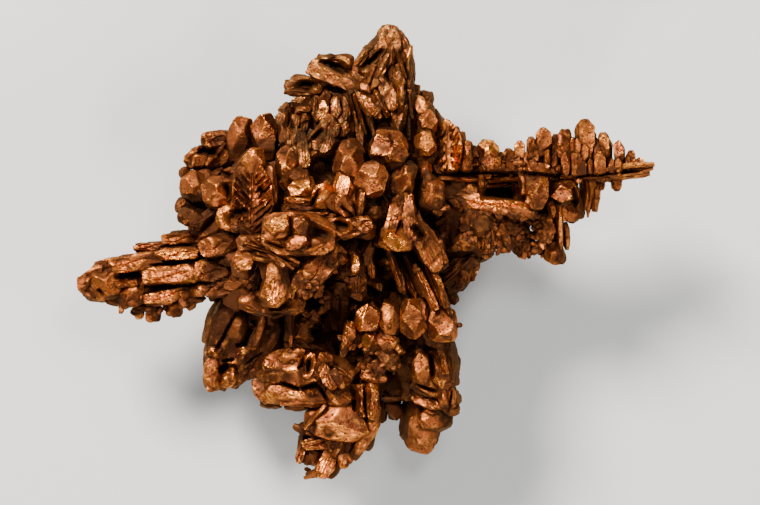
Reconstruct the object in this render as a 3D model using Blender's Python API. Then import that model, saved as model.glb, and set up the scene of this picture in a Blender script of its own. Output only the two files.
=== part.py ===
"""A native copper nugget: one piece of metal, grown as crystals on a lumpy core.

The nugget lies on its back. +X is to the right of its best face, +Y is to the top of that face,
and +Z points out of the face, away from the surface that the nugget rests on. Lengths in the
tables are millimetres, angles are degrees.

Every crystal is cut like a gem: a block is trimmed by one plane for each facet. The crystals and
the core lumps are then fused, the hoppers are hollowed, and the back is cut flat where it grew
against the wall of the vein.
"""

import math
import random

import bmesh
import bpy
from mathutils import Matrix, Vector

MM = 0.001  # metres in a millimetre

# The nugget is 96.6 mm from the tip of its left arm to the tip of its spear, 76.6 mm from its peak
# to its lowest tip, and 42.7 mm from its back to its foremost crystal. The tables below set that.

# ---- The crystals --------------------------------------------------------------------------
# Each row: kind, x, y, z of the middle, length, width, depth, heading, rise.
# Heading is the way the tip points in the XY plane, counted from +X towards +Y.
# Rise lifts the tip towards +Z. Width lies in the XY plane.

PEAK = [
    ("spear", 3.0, 28.9, 34.0, 18.4, 11.0, 7.0, 87, 0),
    ("blade", 6.4, 28.4, 35.4, 15.6, 3.6, 4.6, 101, 0),
    ("bar", -0.8, 31.4, 35.4, 7.2, 2.2, 3.4, 56, 0),
    ("bar", 1.2, 30.6, 37.4, 6.8, 1.4, 2.2, 50, 4),
    ("bar", 2.6, 31.6, 37.8, 7.8, 1.3, 2.2, 66, 2),
    ("bar", 4.6, 29.8, 38.0, 9.4, 1.4, 2.2, 91, 2),
    ("blade", 7.2, 22.4, 36.2, 12.4, 4.0, 4.6, 78, -6),
    ("bar", 1.8, 24.4, 38.6, 5.8, 3.0, 3.6, -48, 10),
    ("bar", 4.8, 26.0, 38.6, 5.4, 2.6, 3.0, -74, 8),
    ("bar", 0.2, 27.8, 37.2, 5.6, 2.2, 3.0, 222, 6),
]
CROWN = [
    ("blade", -5.3, 28.9, 36.0, 9.8, 4.4, 4.0, 154, 8),
    ("blade", -5.2, 31.9, 34.0, 6.6, 2.9, 3.6, 167, 0),
    ("blade", -9.8, 27.6, 33.6, 8.4, 3.8, 4.4, 173, 0),
    ("knob", -10.5, 24.4, 34.0, 5.2, 3.3, 5.0, 186, 8),
    ("knob", -13.4, 22.6, 33.0, 5.4, 3.3, 4.6, 56, 8),
    ("knob", -10.9, 21.6, 36.2, 6.4, 3.5, 3.6, 80, 32),
    ("bar", -7.4, 23.6, 36.8, 7.4, 2.5, 3.4, -108, 8),
    ("bar", -4.8, 22.8, 37.8, 7.6, 2.1, 3.2, -100, 10),
    ("bar", -3.1, 21.3, 38.8, 8.2, 2.6, 3.4, -88, 12),
    ("bar", -1.3, 23.3, 38.0, 6.8, 1.8, 3.4, -80, 12),
    ("blade", 0.4, 22.5, 38.4, 8.8, 1.4, 3.6, -68, 12),
    ("knob", -6.7, 18.1, 40.6, 6.4, 4.8, 4.6, -70, 28),
    ("knob", -2.5, 26.3, 37.4, 4.0, 2.9, 3.6, -90, 18),
]
LEFT_SHOULDER = [
    ("knob", -20.8, 18.6, 34.6, 7.6, 4.4, 5.2, 79, 10),
    ("knob", -16.9, 19.4, 35.4, 7.4, 4.6, 5.4, 94, 12),
    ("slab", -24.9, 18.4, 32.6, 5.6, 3.8, 4.6, 15, 4),
    ("knob", -27.8, 15.4, 31.8, 5.0, 4.2, 4.8, 140, 16),
    ("knob", -27.4, 11.0, 32.6, 7.4, 6.4, 6.8, 196, 24),
    ("spear", -18.9, 10.8, 40.4, 13.6, 8.8, 6.4, 91, 9),
    ("knob", -25.0, 9.8, 37.6, 5.6, 4.6, 4.6, 120, 50),
    ("slab", -21.5, 5.2, 40.2, 7.4, 3.9, 4.8, -18, 8),
    ("bar", -26.3, 6.0, 35.2, 6.8, 2.5, 3.6, 38, 4),
    ("knob", -30.0, 7.6, 31.0, 4.0, 3.0, 3.4, 190, 8),
    ("knob", -12.8, 14.5, 39.8, 7.0, 4.2, 4.6, 95, 26),
    ("knob", -10.3, 15.8, 41.6, 7.4, 2.9, 3.6, -82, 15),
    ("knob", -13.7, 19.5, 37.6, 4.4, 2.4, 3.0, -80, 16),
    ("bar", -12.0, 19.3, 38.6, 4.2, 1.7, 2.8, -84, 20),
]
HEART = [
    ("knob", -2.8, 15.8, 42.4, 8.6, 4.9, 5.0, 60, 66),
    ("knob", 3.8, 17.4, 42.8, 9.0, 6.5, 5.8, -75, 60),
    ("knob", 1.0, 12.0, 44.8, 8.6, 5.3, 5.3, 100, 70),
    ("knob", -3.3, 11.3, 44.4, 7.6, 3.7, 4.4, 95, 48),
    ("knob", 6.3, 12.2, 42.4, 7.6, 3.5, 4.2, 55, 42),
    ("knob", 10.5, 9.6, 39.4, 9.6, 4.0, 4.6, 100, 50),
    ("knob", 9.8, 18.0, 38.8, 6.6, 3.3, 4.2, 90, 30),
    ("knob", 10.0, 22.2, 36.8, 6.4, 3.3, 4.4, 95, 16),
    ("slab", 9.4, 24.3, 33.6, 6.0, 3.6, 5.0, 75, 4),
    ("slab", 12.4, 20.6, 34.0, 7.4, 3.0, 5.2, 117, 6),
    ("knob", -10.5, 10.7, 43.2, 7.8, 4.5, 4.8, 110, 42),
    ("bar", -7.1, 9.2, 44.4, 6.4, 2.6, 3.8, 70, 20),
    ("slab", -10.1, 6.9, 44.2, 8.8, 2.9, 5.2, -4, 8),
    ("slab", -4.4, 7.7, 46.6, 5.6, 3.3, 3.8, 148, 16),
    ("bar", -0.8, 8.6, 47.2, 5.0, 1.8, 3.4, 84, 24),
    ("knob", 0.9, 6.3, 46.8, 3.8, 2.4, 3.0, 20, 24),
    ("slab", -1.6, 4.2, 46.4, 6.6, 4.4, 6.2, -10, 20),
]
HOPPERS = [
    ("slab", -11.2, 2.9, 45.2, 12.0, 6.4, 7.0, -8, 6),
    ("knob", -14.5, 4.1, 47.6, 5.2, 4.5, 4.4, 150, 36),
    ("knob", -11.2, 3.9, 48.2, 5.2, 3.9, 4.0, 60, 44),
    ("knob", -11.2, 1.2, 48.0, 5.2, 3.1, 3.8, -20, 30),
    ("bar", -7.6, 1.0, 47.0, 5.6, 1.7, 4.0, 15, 8),
    ("blade", -16.6, 1.2, 45.6, 10.6, 1.7, 4.6, -36, 5),
    ("blade", -17.7, -0.5, 45.4, 9.6, 1.5, 4.6, -38, 5),
    ("knob", -20.3, -1.8, 43.6, 6.2, 4.1, 4.6, -110, 30),
    ("blade", -15.2, -4.5, 45.6, 8.8, 4.2, 4.4, -80, 4),
    ("slab", -7.8, -2.6, 43.2, 10.8, 5.2, 5.6, 46, 6),
    ("knob", -12.4, -6.0, 43.0, 5.2, 2.7, 3.8, -100, 16),
    ("slab", -15.2, -8.8, 39.6, 9.8, 3.7, 5.2, 4, 6),
    ("slab", 5.2, 6.2, 43.6, 7.2, 3.5, 4.2, 68, 4),
    ("blade", 8.0, 5.3, 44.4, 6.4, 2.3, 3.8, 100, 10),
    ("slab", 4.8, 2.1, 44.4, 7.0, 3.1, 4.8, 2, 10),
    ("slab", 10.2, 0.4, 41.4, 9.2, 3.7, 4.8, -46, 3),
    ("knob", 0.2, 0.6, 42.0, 7.0, 2.7, 3.4, -100, 20),
    ("bar", -2.3, -0.3, 42.4, 7.0, 2.3, 3.4, -95, 20),
]
HOLLOW = [
    ("knob", -1.3, -4.9, 37.0, 8.6, 3.2, 4.6, -95, 56),
    ("knob", 1.3, -4.3, 35.6, 8.0, 2.2, 3.0, -60, 62),
    ("knob", -6.6, -7.6, 32.6, 9.4, 2.6, 3.4, -90, 70),
    ("knob", -1.6, -8.1, 33.6, 7.4, 2.4, 3.2, -100, 60),
    ("knob", -9.2, -10.1, 33.2, 7.6, 2.5, 3.2, -60, 66),
    ("knob", -10.6, -13.0, 33.4, 6.6, 3.0, 3.8, -88, 40),
    ("bar", -12.7, -11.6, 34.6, 7.4, 2.4, 4.6, -92, 8),
]
SPINE = [
    ("blade", 30.0, 13.5, 35.5, 36.4, 2.8, 6.2, 1.2, 0),
    ("slab", 22.0, 13.4, 33.4, 20.0, 5.2, 6.4, 1, 0),
    ("knob", 13.7, 17.3, 36.2, 8.4, 3.3, 4.6, 80, 4),
    ("knob", 15.9, 17.0, 36.6, 6.8, 2.5, 3.8, 95, 4),
    ("knob", 17.2, 16.0, 37.6, 5.2, 1.8, 2.8, 92, 8),
    ("slab", 20.5, 16.2, 35.8, 5.6, 3.5, 4.2, 90, 4),
]
# Crystals that stand on the spear's upper edge: x, y of the tip, width.
SPEAR_FRINGE = [
    (23.7, 17.6, 2.0),
    (25.7, 18.3, 2.4),
    (27.6, 18.9, 2.1),
    (29.8, 20.6, 3.2),
    (31.6, 18.8, 2.1),
    (33.4, 19.6, 3.2),
    (36.7, 22.0, 4.1),
    (38.7, 18.4, 1.9),
    (40.2, 19.6, 2.6),
    (42.3, 18.3, 2.2),
    (44.4, 16.6, 1.8),
]
# Crystals on the spear's face: x, y of the middle, width, length.
SPEAR_FACE = [
    (20.8, 15.2, 2.8, 3.4),
    (30.3, 14.4, 2.6, 3.4),
    (33.5, 15.2, 2.0, 3.6),
    (35.4, 14.0, 2.4, 4.6),
    (39.2, 14.7, 2.2, 4.0),
    (42.0, 14.5, 2.4, 3.0),
]
SPEAR_ROOT = [
    ("knob", 28.6, 10.3, 37.4, 7.8, 4.6, 5.4, 90, 9),
    ("bar", 27.0, 11.6, 36.8, 5.8, 1.9, 4.2, 96, 4),
    ("knob", 33.0, 9.9, 35.8, 5.4, 4.5, 5.2, 75, 24),
    ("bar", 36.4, 9.8, 34.6, 7.0, 1.8, 3.0, -90, 0),
    ("bar", 38.2, 10.2, 34.6, 6.4, 1.5, 2.8, -97, 0),
    ("knob", 42.0, 11.6, 34.6, 3.4, 1.9, 2.6, -86, 0),
    ("slab", 19.4, 8.2, 34.4, 14.0, 2.9, 5.2, -12, 2),
    ("slab", 22.6, 3.0, 32.0, 9.8, 7.4, 6.4, -8, 0),
    ("slab", 26.2, 7.2, 31.6, 13.0, 8.0, 6.0, 4, 0),
    ("knob", 29.9, 3.7, 33.4, 5.4, 3.9, 4.6, -84, 12),
    ("bar", 32.3, 2.7, 32.2, 9.0, 1.8, 3.8, -90, 0),
    ("knob", 31.0, 0.1, 31.4, 5.0, 3.1, 3.8, -96, 0),
    ("knob", 34.0, 6.4, 31.6, 4.8, 3.1, 3.8, -60, 8),
    ("knob", 26.9, 0.6, 31.2, 4.4, 2.8, 3.4, -100, 8),
    ("knob", 16.8, 2.0, 35.4, 5.0, 3.3, 3.8, -70, 34),
    ("slab", 15.6, -3.6, 31.0, 8.0, 6.4, 6.4, 50, 0),
    ("slab", 18.2, -0.8, 30.6, 6.8, 4.6, 5.4, 20, 0),
    ("knob", 13.0, 3.0, 35.0, 5.2, 3.0, 3.6, -80, 34),
]
# Thin parallel ribs under the heart: x, y of the middle, length, width, heading.
RIBS = [
    (5.3, -3.2, 7.4, 1.2, -70),
    (8.0, -4.2, 7.8, 1.3, -66),
    (10.2, -6.0, 9.2, 1.8, -64),
    (12.3, -6.6, 7.6, 1.3, -68),
]
RIGHT_LEG = [
    ("slab", 9.4, -5.6, 37.4, 13.0, 6.8, 5.2, -64, 0),
    ("knob", 8.0, -10.9, 39.0, 6.4, 4.5, 5.2, -80, 20),
    ("knob", 12.7, -11.7, 39.0, 6.4, 4.6, 5.4, -72, 16),
    ("knob", 13.5, -18.1, 32.8, 9.8, 4.0, 4.8, -79, 0),
    ("bar", 9.6, -18.8, 33.2, 5.8, 2.2, 3.6, -72, 4),
    ("slab", 10.6, -23.2, 31.0, 7.2, 2.8, 4.6, -22, 0),
    ("knob", 14.1, -24.2, 31.6, 4.8, 3.5, 4.2, -60, 20),
    ("knob", 11.6, -27.4, 26.8, 6.2, 5.7, 5.6, -70, 8),
    ("knob", 8.9, -28.3, 20.6, 10.2, 6.9, 7.4, -86, 0),
    ("knob", 6.2, -17.4, 27.0, 7.0, 4.8, 5.4, -80, 24),
    ("knob", 4.6, -22.3, 25.6, 6.6, 4.6, 5.4, -95, 16),
    ("bar", 4.7, -25.9, 23.4, 5.2, 2.9, 3.6, -88, 0),
]
LOWER_BODY = [
    ("knob", 0.7, -10.9, 36.8, 6.4, 4.1, 4.6, -102, 20),
    ("slab", 4.5, -9.9, 35.0, 7.2, 3.4, 4.6, -86, 6),
    ("bar", -2.6, -13.8, 35.4, 6.8, 2.5, 3.8, -112, 8),
    ("slab", 3.0, -16.8, 35.2, 6.4, 4.8, 4.8, -50, 8),
    ("knob", 1.0, -19.5, 34.8, 4.8, 2.9, 3.8, -80, 12),
    ("bar", -0.6, -24.0, 33.0, 6.4, 1.9, 3.4, -82, 4),
    ("bar", 1.3, -24.2, 33.4, 6.8, 2.1, 3.6, -86, 4),
    ("slab", -7.6, -18.4, 33.6, 13.4, 5.2, 6.4, -24, 6),
    ("slab", -12.6, -17.6, 32.4, 7.4, 4.6, 5.4, -150, 4),
    ("slab", -10.4, -20.9, 32.8, 10.4, 4.0, 5.6, -20, 4),
    ("knob", -4.6, -21.4, 34.2, 6.4, 3.8, 4.6, -80, 10),
    ("knob", -16.4, -22.4, 31.0, 6.4, 3.8, 4.8, -62, 0),
    ("slab", -10.8, -24.3, 32.0, 9.4, 3.0, 5.4, -16, 0),
    ("blade", -5.0, -27.6, 31.0, 10.8, 5.6, 5.6, 176, 4),
    ("knob", -3.6, -25.0, 32.4, 5.6, 3.6, 4.4, 100, 10),
    ("blade", -0.8, -30.6, 28.8, 9.8, 3.0, 4.8, 62, 0),
    ("slab", -7.2, -30.4, 28.8, 8.8, 3.4, 5.0, 170, 0),
    ("slab", -5.4, -34.8, 28.0, 7.2, 4.0, 4.8, 64, 0),
    ("bar", -10.8, -33.0, 28.0, 5.4, 2.1, 3.2, -96, 0),
    ("bar", -8.6, -37.0, 27.8, 3.6, 1.3, 2.2, 195, 0),
]
LEFT_LOBE = [
    ("slab", -22.4, -13.4, 24.6, 16.6, 8.6, 9.6, -112, 0),
    ("knob", -24.4, -10.9, 27.2, 11.4, 4.4, 5.6, -116, 0),
    ("knob", -20.9, -12.0, 28.6, 10.4, 3.6, 5.2, -114, 0),
    ("knob", -17.8, -13.2, 28.4, 9.4, 3.2, 4.8, -116, 0),
    ("knob", -15.0, -14.6, 27.2, 10.4, 4.2, 5.2, -119, 0),
    ("knob", -25.0, -19.4, 25.4, 8.2, 4.6, 6.4, -98, 0),
    ("knob", -21.8, -20.0, 24.6, 6.6, 3.8, 5.6, -104, 0),
]
LEFT_ARM = [
    ("slab", -32.6, -3.3, 28.6, 21.0, 7.2, 5.6, 187, 0),
    ("knob", -43.6, -5.2, 30.2, 9.4, 6.1, 6.4, 186, 0),
    ("bar", -30.4, 2.3, 29.0, 8.4, 2.6, 4.4, 184, 0),
    ("bar", -35.3, 0.8, 29.4, 7.4, 2.2, 4.0, 184, 0),
    ("bar", -36.7, -1.4, 30.8, 17.2, 3.0, 5.4, 188, 0),
    ("bar", -30.4, -0.4, 32.2, 9.4, 2.5, 4.4, 187, 0),
    ("bar", -30.0, -3.9, 32.2, 14.8, 3.3, 5.0, 188, 0),
    ("bar", -33.4, -7.0, 30.4, 12.4, 2.8, 5.0, 189, 0),
    ("knob", -38.8, -7.5, 30.4, 5.6, 3.6, 4.8, 200, 8),
    ("knob", -35.6, -9.9, 28.6, 4.0, 2.6, 3.2, -95, 0),
    ("knob", -32.1, -9.1, 28.6, 4.2, 2.5, 3.2, -80, 0),
    ("knob", -24.4, 1.0, 35.8, 6.8, 4.5, 5.2, 205, 8),
    ("slab", -24.8, -4.2, 32.4, 8.4, 5.2, 6.2, 190, 4),
    ("knob", -21.4, -6.7, 33.8, 7.0, 4.1, 5.2, -120, 16),
]
REGIONS = (
    PEAK, CROWN, LEFT_SHOULDER, HEART, HOPPERS, HOLLOW, SPINE, SPEAR_ROOT,
    RIGHT_LEG, LOWER_BODY, LEFT_LOBE, LEFT_ARM,
)

# Lumps of the core that the crystals grow from: x, y, z of the middle, then the half axes.
CORE = [
    (-8.0, 9.0, 27.0, 15.5, 12.5, 15.0),
    (2.5, 21.0, 29.0, 8.0, 8.5, 8.0),
    (1.0, -4.0, 23.0, 12.0, 14.0, 12.0),
    (-4.0, -19.5, 25.0, 9.0, 7.5, 8.0),
    (-17.5, -12.0, 24.0, 6.5, 8.5, 7.0),
    (-22.5, 3.5, 30.0, 7.0, 5.0, 7.0),
    (15.5, 7.0, 31.0, 9.5, 9.0, 6.5),
    (8.2, -17.5, 25.0, 4.5, 9.0, 7.0),
]

# Hollows that are sunk into the crystals: x, y, z of the middle, length, width, depth, heading, rise.
HOLLOWS = [
    (-5.4, 30.7, 37.6, 7.2, 1.3, 4.0, 160, 0),
    (-8.2, 19.0, 41.4, 2.6, 1.2, 3.0, 110, 0),
    (-17.6, 13.0, 43.2, 1.1, 3.6, 2.6, 20, 0),
    (-17.4, 10.3, 43.4, 1.1, 3.8, 2.6, 24, 0),
    (-21.6, 7.0, 43.0, 4.6, 1.3, 2.6, -14, 0),
    (-8.2, 2.4, 48.8, 3.6, 2.0, 3.6, 70, 0),
    (18.8, 9.8, 36.6, 5.4, 1.6, 3.6, -4, 0),
    (-39.6, -4.2, 33.4, 5.4, 1.2, 2.6, 187, 0),
    (-32.8, -5.6, 32.8, 7.2, 1.2, 3.0, 188, 0),
]

LUMP_SUBDIVISIONS = 1  # of the icosahedron that a lump is made from, which gives 80 faces

# Crystals that cover the sides and the back of each core lump: how many, and their length.
BACK = [
    (7, 13.0),
    (4, 10.5),
    (5, 12.0),
    (4, 10.0),
    (3, 9.5),
    (2, 8.5),
    (4, 10.5),
    (3, 9.0),
]
BACK_WIDTH = 0.7  # of the length
BLANK = 1.2  # how far the block that a crystal is cut from is oversized across

# The broad foot of the core, and the crystals that fan out round it and rest on the ground.
FOOT = (-5.0, 0.5, 17.0, 15.5, 17.0, 15.0)
FOOT_COUNT = 9
FOOT_SIZE = (13.0, 16.0)  # shortest and longest
FOOT_HEIGHT = 15.0  # of the crystals' middles, in the tables' frame

# The plane that the back is cut to, and the middle of the nugget's box, in the tables' frame.
CUT = 8.0
MIDDLE = (-0.11, -0.18)

# How the finished mesh is thinned out, in metres.
MOST_TRIANGLES = 9900
SHORT_EDGE = 0.0007
SMALLEST_FACE = 4e-10
MOST_TURN = 0.98  # cosine of the angle that a facet may turn by
COPPER = (0.32, 0.13, 0.06, 1.0)
SEED = 4


# ---- Facets --------------------------------------------------------------------------------
# A facet is its outward normal and its distance from the middle, in a box that runs from -1 to 1
# along the crystal's length, width and depth.


def facet(lean, turn, distance):
    """A facet that leans towards the tip, at a turn round the crystal's length."""
    lean = math.radians(lean)
    turn = math.radians(turn)
    across = math.cos(lean)
    return (math.sin(lean), across * math.cos(turn), across * math.sin(turn)), distance


def knob_facets(rng):
    """A stubby crystal of five sides, with a blunt pyramid at its tip."""
    facets = []
    for side in range(5):
        turn = 72 * side + rng.uniform(-12, 12)
        facets.append(facet(rng.uniform(-2, 8), turn, rng.uniform(0.84, 0.94)))
    start = rng.uniform(0, 120)
    for side in range(3):
        facets.append(facet(rng.uniform(40, 56), start + 120 * side, rng.uniform(0.86, 0.98)))
    return facets


def bud_facets(rng):
    """A small crystal of four sides that ends in a roof."""
    facets = []
    for side in range(4):
        facets.append(facet(rng.uniform(0, 5), 90 * side + rng.uniform(-14, 14), rng.uniform(0.9, 1.0)))
    for side in (0, 180):
        facets.append(facet(rng.uniform(50, 62), side + rng.uniform(-20, 20), rng.uniform(0.94, 1.02)))
    return facets


def bar_facets(rng):
    """A long crystal of five uneven sides, with a blunt tip."""
    facets = []
    for turn in (0, 62, 130, 180, 270):
        facets.append(facet(rng.uniform(-1, 4), turn + rng.uniform(-9, 9), rng.uniform(0.88, 0.98)))
    for turn in (10, 130, 250):
        facets.append(facet(rng.uniform(32, 44), turn + rng.uniform(-20, 20), rng.uniform(0.98, 1.1)))
    facets.append(facet(-40, rng.uniform(0, 180), 1.05))
    return facets


def slab_facets(rng):
    """A thick block with its corners cut off."""
    facets = []
    for turn in (0, 90, 180, 270):
        facets.append(facet(rng.uniform(-3, 5), turn + rng.uniform(-8, 8), rng.uniform(0.9, 0.98)))
    for turn in (0, 180):
        facets.append(facet(rng.uniform(38, 52), turn, rng.uniform(1.06, 1.2)))
        facets.append(facet(rng.uniform(-52, -38), turn, rng.uniform(1.06, 1.2)))
        facets.append(facet(rng.uniform(8, 20), turn + rng.uniform(40, 50), rng.uniform(1.08, 1.18)))
    return facets


def blade_facets(rng):
    """A thin crystal with a ridge along it, drawn out to a point."""
    facets = []
    for side in (0, 180):
        facets.append(facet(rng.uniform(24, 32), side, rng.uniform(0.8, 0.92)))
        for face in (-1, 1):
            facets.append(facet(rng.uniform(0, 5), side + face * rng.uniform(50, 62), rng.uniform(0.84, 0.94)))
    for face in (90, 270):
        facets.append(facet(rng.uniform(26, 32), face, rng.uniform(0.94, 1.0)))
    facets.append(facet(-38, 0, 1.0))
    return facets


def spear_facets(rng):
    """A leaf-shaped crystal, widest near its foot, with a ridge down its middle."""
    facets = []
    for side in (0, 180):
        facets.append(facet(52, side, 0.87 + rng.uniform(0, 0.03)))
        facets.append(facet(10, side, 0.93))
        facets.append(facet(-34, side, 1.0 + rng.uniform(0, 0.06)))
        facets.append(facet(9, side + 58, 0.86 + rng.uniform(0, 0.04)))
    return facets


FACETS = {
    "knob": knob_facets,
    "bud": bud_facets,
    "bar": bar_facets,
    "slab": slab_facets,
    "blade": blade_facets,
    "spear": spear_facets,
}


# ---- Solids --------------------------------------------------------------------------------


def trim(bm, normal, distance):
    """Cut off what lies outside one facet and close the cut."""
    geometry = bm.verts[:] + bm.edges[:] + bm.faces[:]
    cut = bmesh.ops.bisect_plane(
        bm, geom=geometry, dist=1e-6, plane_co=Vector(normal) * distance / Vector(normal).length_squared,
        plane_no=normal, clear_outer=True,
    )
    rim = [item for item in cut["geom_cut"] if isinstance(item, bmesh.types.BMEdge)]
    if rim:
        bmesh.ops.holes_fill(bm, edges=rim, sides=0)


def placed(x, y, z, length, width, depth, heading, rise):
    """The matrix that takes the box from -1 to 1 to a crystal's place, in metres."""
    turn = Matrix.Rotation(math.radians(heading), 4, "Z") @ Matrix.Rotation(-math.radians(rise), 4, "Y")
    size = Matrix.Diagonal((length * MM / 2, width * MM / 2, depth * MM / 2, 1.0))
    return Matrix.Translation(Vector((x, y, z)) * MM) @ turn @ size


def crystal(kind, place, rng):
    """One crystal as a new object, which the union takes up."""
    bm = bmesh.new()
    bmesh.ops.create_cube(bm, size=2.0)
    bmesh.ops.scale(bm, vec=(1.0, BLANK, BLANK), verts=bm.verts)
    for normal, distance in FACETS[kind](rng):
        trim(bm, normal, distance)
    bmesh.ops.transform(bm, matrix=place, verts=bm.verts)
    bmesh.ops.recalc_face_normals(bm, faces=bm.faces)
    return new_object(kind, bm)


def lump(x, y, z, half_x, half_y, half_z):
    """One rounded lump of the core."""
    bm = bmesh.new()
    bmesh.ops.create_icosphere(bm, subdivisions=LUMP_SUBDIVISIONS, radius=1.0)
    place = Matrix.Translation(Vector((x, y, z)) * MM) @ Matrix.Diagonal((half_x * MM, half_y * MM, half_z * MM, 1.0))
    bmesh.ops.transform(bm, matrix=place, verts=bm.verts)
    return new_object("core_lump", bm)


def wall():
    """The wall of the vein, which the back of the nugget lies flat against."""
    bm = bmesh.new()
    bmesh.ops.create_cube(bm, size=2.0)
    bmesh.ops.transform(bm, matrix=placed(0.0, 0.0, CUT - 10.0, 200.0, 200.0, 20.0, 0, 0), verts=bm.verts)
    return new_object("wall", bm)


def new_object(name, bm):
    """A mesh object from a bmesh, in the scene."""
    mesh = bpy.data.meshes.new(name)
    bm.to_mesh(mesh)
    bm.free()
    thing = bpy.data.objects.new(name, mesh)
    bpy.context.scene.collection.objects.link(thing)
    return thing


# ---- Rows that are worked out -----------------------------------------------------------------


def fringe_rows():
    """The crystals that stand along the spear's upper edge, shorter towards its tip."""
    rows = []
    for x, y, width in SPEAR_FRINGE:
        foot = 12.8
        rows.append(("bud", x, (y + foot) / 2, 35.6, y - foot, width, width * 1.3, 90, 2))
    for x, y, width, length in SPEAR_FACE:
        rows.append(("bud", x, y, 37.0, length, width, 3.2, 88, 8))
    return rows


def rib_rows():
    """The thin parallel ribs under the heart of the nugget."""
    rows = []
    for x, y, length, width, heading in RIBS:
        rows.append(("bar", x, y, 40.4, length, width, 4.4, heading, 0))
    return rows


def foot_rows(rng):
    """Stout crystals that fan out round the broad foot of the core, tips down."""
    rows = []
    x, y, _, half_x, half_y, _ = FOOT
    for step in range(FOOT_COUNT):
        heading = 360 * step / FOOT_COUNT + rng.uniform(-10, 10)
        out = math.radians(heading)
        length = rng.uniform(*FOOT_SIZE)
        width = length * rng.uniform(0.52, 0.66)
        middle_x = x + 0.66 * half_x * math.cos(out)
        middle_y = y + 0.66 * half_y * math.sin(out)
        middle_z = FOOT_HEIGHT + rng.uniform(-1.5, 3.0)
        rows.append(("knob", middle_x, middle_y, middle_z, length, width, width, heading, rng.uniform(-38, -14)))
    return rows


def back_rows(rng):
    """Crystals over the back and the sides of every lump, on a spiral of even steps."""
    rows = []
    golden = math.pi * (3.0 - math.sqrt(5.0))
    for (x, y, z, half_x, half_y, half_z), (count, size) in zip(CORE, BACK):
        for step in range(count):
            drop = 0.05 + 0.9 * (step + 0.5) / count
            ring = math.sqrt(1.0 - drop * drop)
            turn = golden * step + rng.uniform(-0.3, 0.3)
            out = Vector((ring * math.cos(turn), ring * math.sin(turn), -drop))
            length = size * rng.uniform(0.85, 1.1)
            reach = 0.62
            spot = Vector((x + reach * half_x * out.x, y + reach * half_y * out.y, z + reach * half_z * out.z))
            heading = math.degrees(math.atan2(out.y, out.x)) + rng.uniform(-16, 16)
            rise = math.degrees(math.asin(out.z)) + rng.uniform(-12, 6)
            rows.append(("knob", *spot, length, length * BACK_WIDTH, length * BACK_WIDTH, heading, rise))
    return rows


# ---- Fusing ----------------------------------------------------------------------------------


def boolean(target, others, operation):
    """Apply one exact Boolean of a group of objects to the target, then drop the group."""
    group = bpy.data.collections.new(operation.lower())
    for thing in others:
        group.objects.link(thing)
    modifier = target.modifiers.new(operation.lower(), "BOOLEAN")
    modifier.operation = operation
    modifier.solver = "EXACT"
    modifier.operand_type = "COLLECTION"
    modifier.collection = group
    graph = bpy.context.evaluated_depsgraph_get()
    fused = bpy.data.meshes.new_from_object(target.evaluated_get(graph))
    target.modifiers.remove(modifier)
    target.data = fused
    for thing in others:
        bpy.data.objects.remove(thing)
    bpy.data.collections.remove(group)


def ring(vert):
    """The vertices next to a vertex."""
    return {edge.other_vert(vert) for edge in vert.link_edges}


def keeps_facets(goes, stays):
    """Whether the facets round one vertex hardly turn when it moves onto another."""
    for face in goes.link_faces:
        if stays in face.verts:
            continue
        corners = [stays.co if vert is goes else vert.co for vert in face.verts]
        turned = (corners[1] - corners[0]).cross(corners[2] - corners[0])
        if turned.length < SMALLEST_FACE * 2 or turned.normalized().dot(face.normal) < MOST_TURN:
            return False
    return True


def thin_out(thing):
    """Close up the short edges that the Booleans leave, where that changes no facet and no hole."""
    bm = bmesh.new()
    bm.from_mesh(thing.data)
    bmesh.ops.triangulate(bm, faces=bm.faces[:])
    moves = True
    while moves and len(bm.faces) > MOST_TRIANGLES:
        bm.normal_update()
        taken = set()
        moves = {}
        for edge in sorted(bm.edges, key=bmesh.types.BMEdge.calc_length):
            if edge.calc_length() > SHORT_EDGE or len(bm.faces) - 2 * len(moves) <= MOST_TRIANGLES:
                break
            one, other = edge.verts
            near = ring(one) | ring(other)
            if near & taken or len(ring(one) & ring(other)) != 2:
                continue
            for goes, stays in ((one, other), (other, one)):
                if keeps_facets(goes, stays):
                    moves[goes] = stays
                    taken |= near
                    break
        bmesh.ops.weld_verts(bm, targetmap=moves)
    bm.to_mesh(thing.data)
    bm.free()


def keep_outer_shell(thing):
    """Delete the small shells that a union seals inside the metal."""
    bm = bmesh.new()
    bm.from_mesh(thing.data)
    shells = []
    left = set(bm.faces)
    while left:
        shell = {left.pop()}
        edge = list(shell)
        while edge:
            for side in edge.pop().edges:
                for face in side.link_faces:
                    if face in left:
                        left.discard(face)
                        shell.add(face)
                        edge.append(face)
        shells.append(shell)
    shells.sort(key=len)
    for shell in shells[:-1]:
        bmesh.ops.delete(bm, geom=list(shell), context="FACES")
    bm.to_mesh(thing.data)
    bm.free()


def copper_material():
    """Dark metal with a red-brown skin."""
    material = bpy.data.materials.new("copper")
    material.use_nodes = True
    shader = material.node_tree.nodes["Principled BSDF"]
    shader.inputs["Base Color"].default_value = COPPER
    shader.inputs["Metallic"].default_value = 1.0
    shader.inputs["Roughness"].default_value = 0.42
    return material


def nugget():
    """The whole nugget: crystals and core fused, hollowed, and cut flat on its back."""
    rng = random.Random(SEED)
    rows = [row for region in REGIONS for row in region]
    rows += fringe_rows() + rib_rows() + foot_rows(rng) + back_rows(rng)
    body = lump(*CORE[0])
    grown = [lump(*row) for row in CORE[1:] + [FOOT]]
    for kind, *place in rows:
        grown.append(crystal(kind, placed(*place), rng))
    boolean(body, grown, "UNION")
    body.name = "copper_nugget"
    return body


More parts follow.
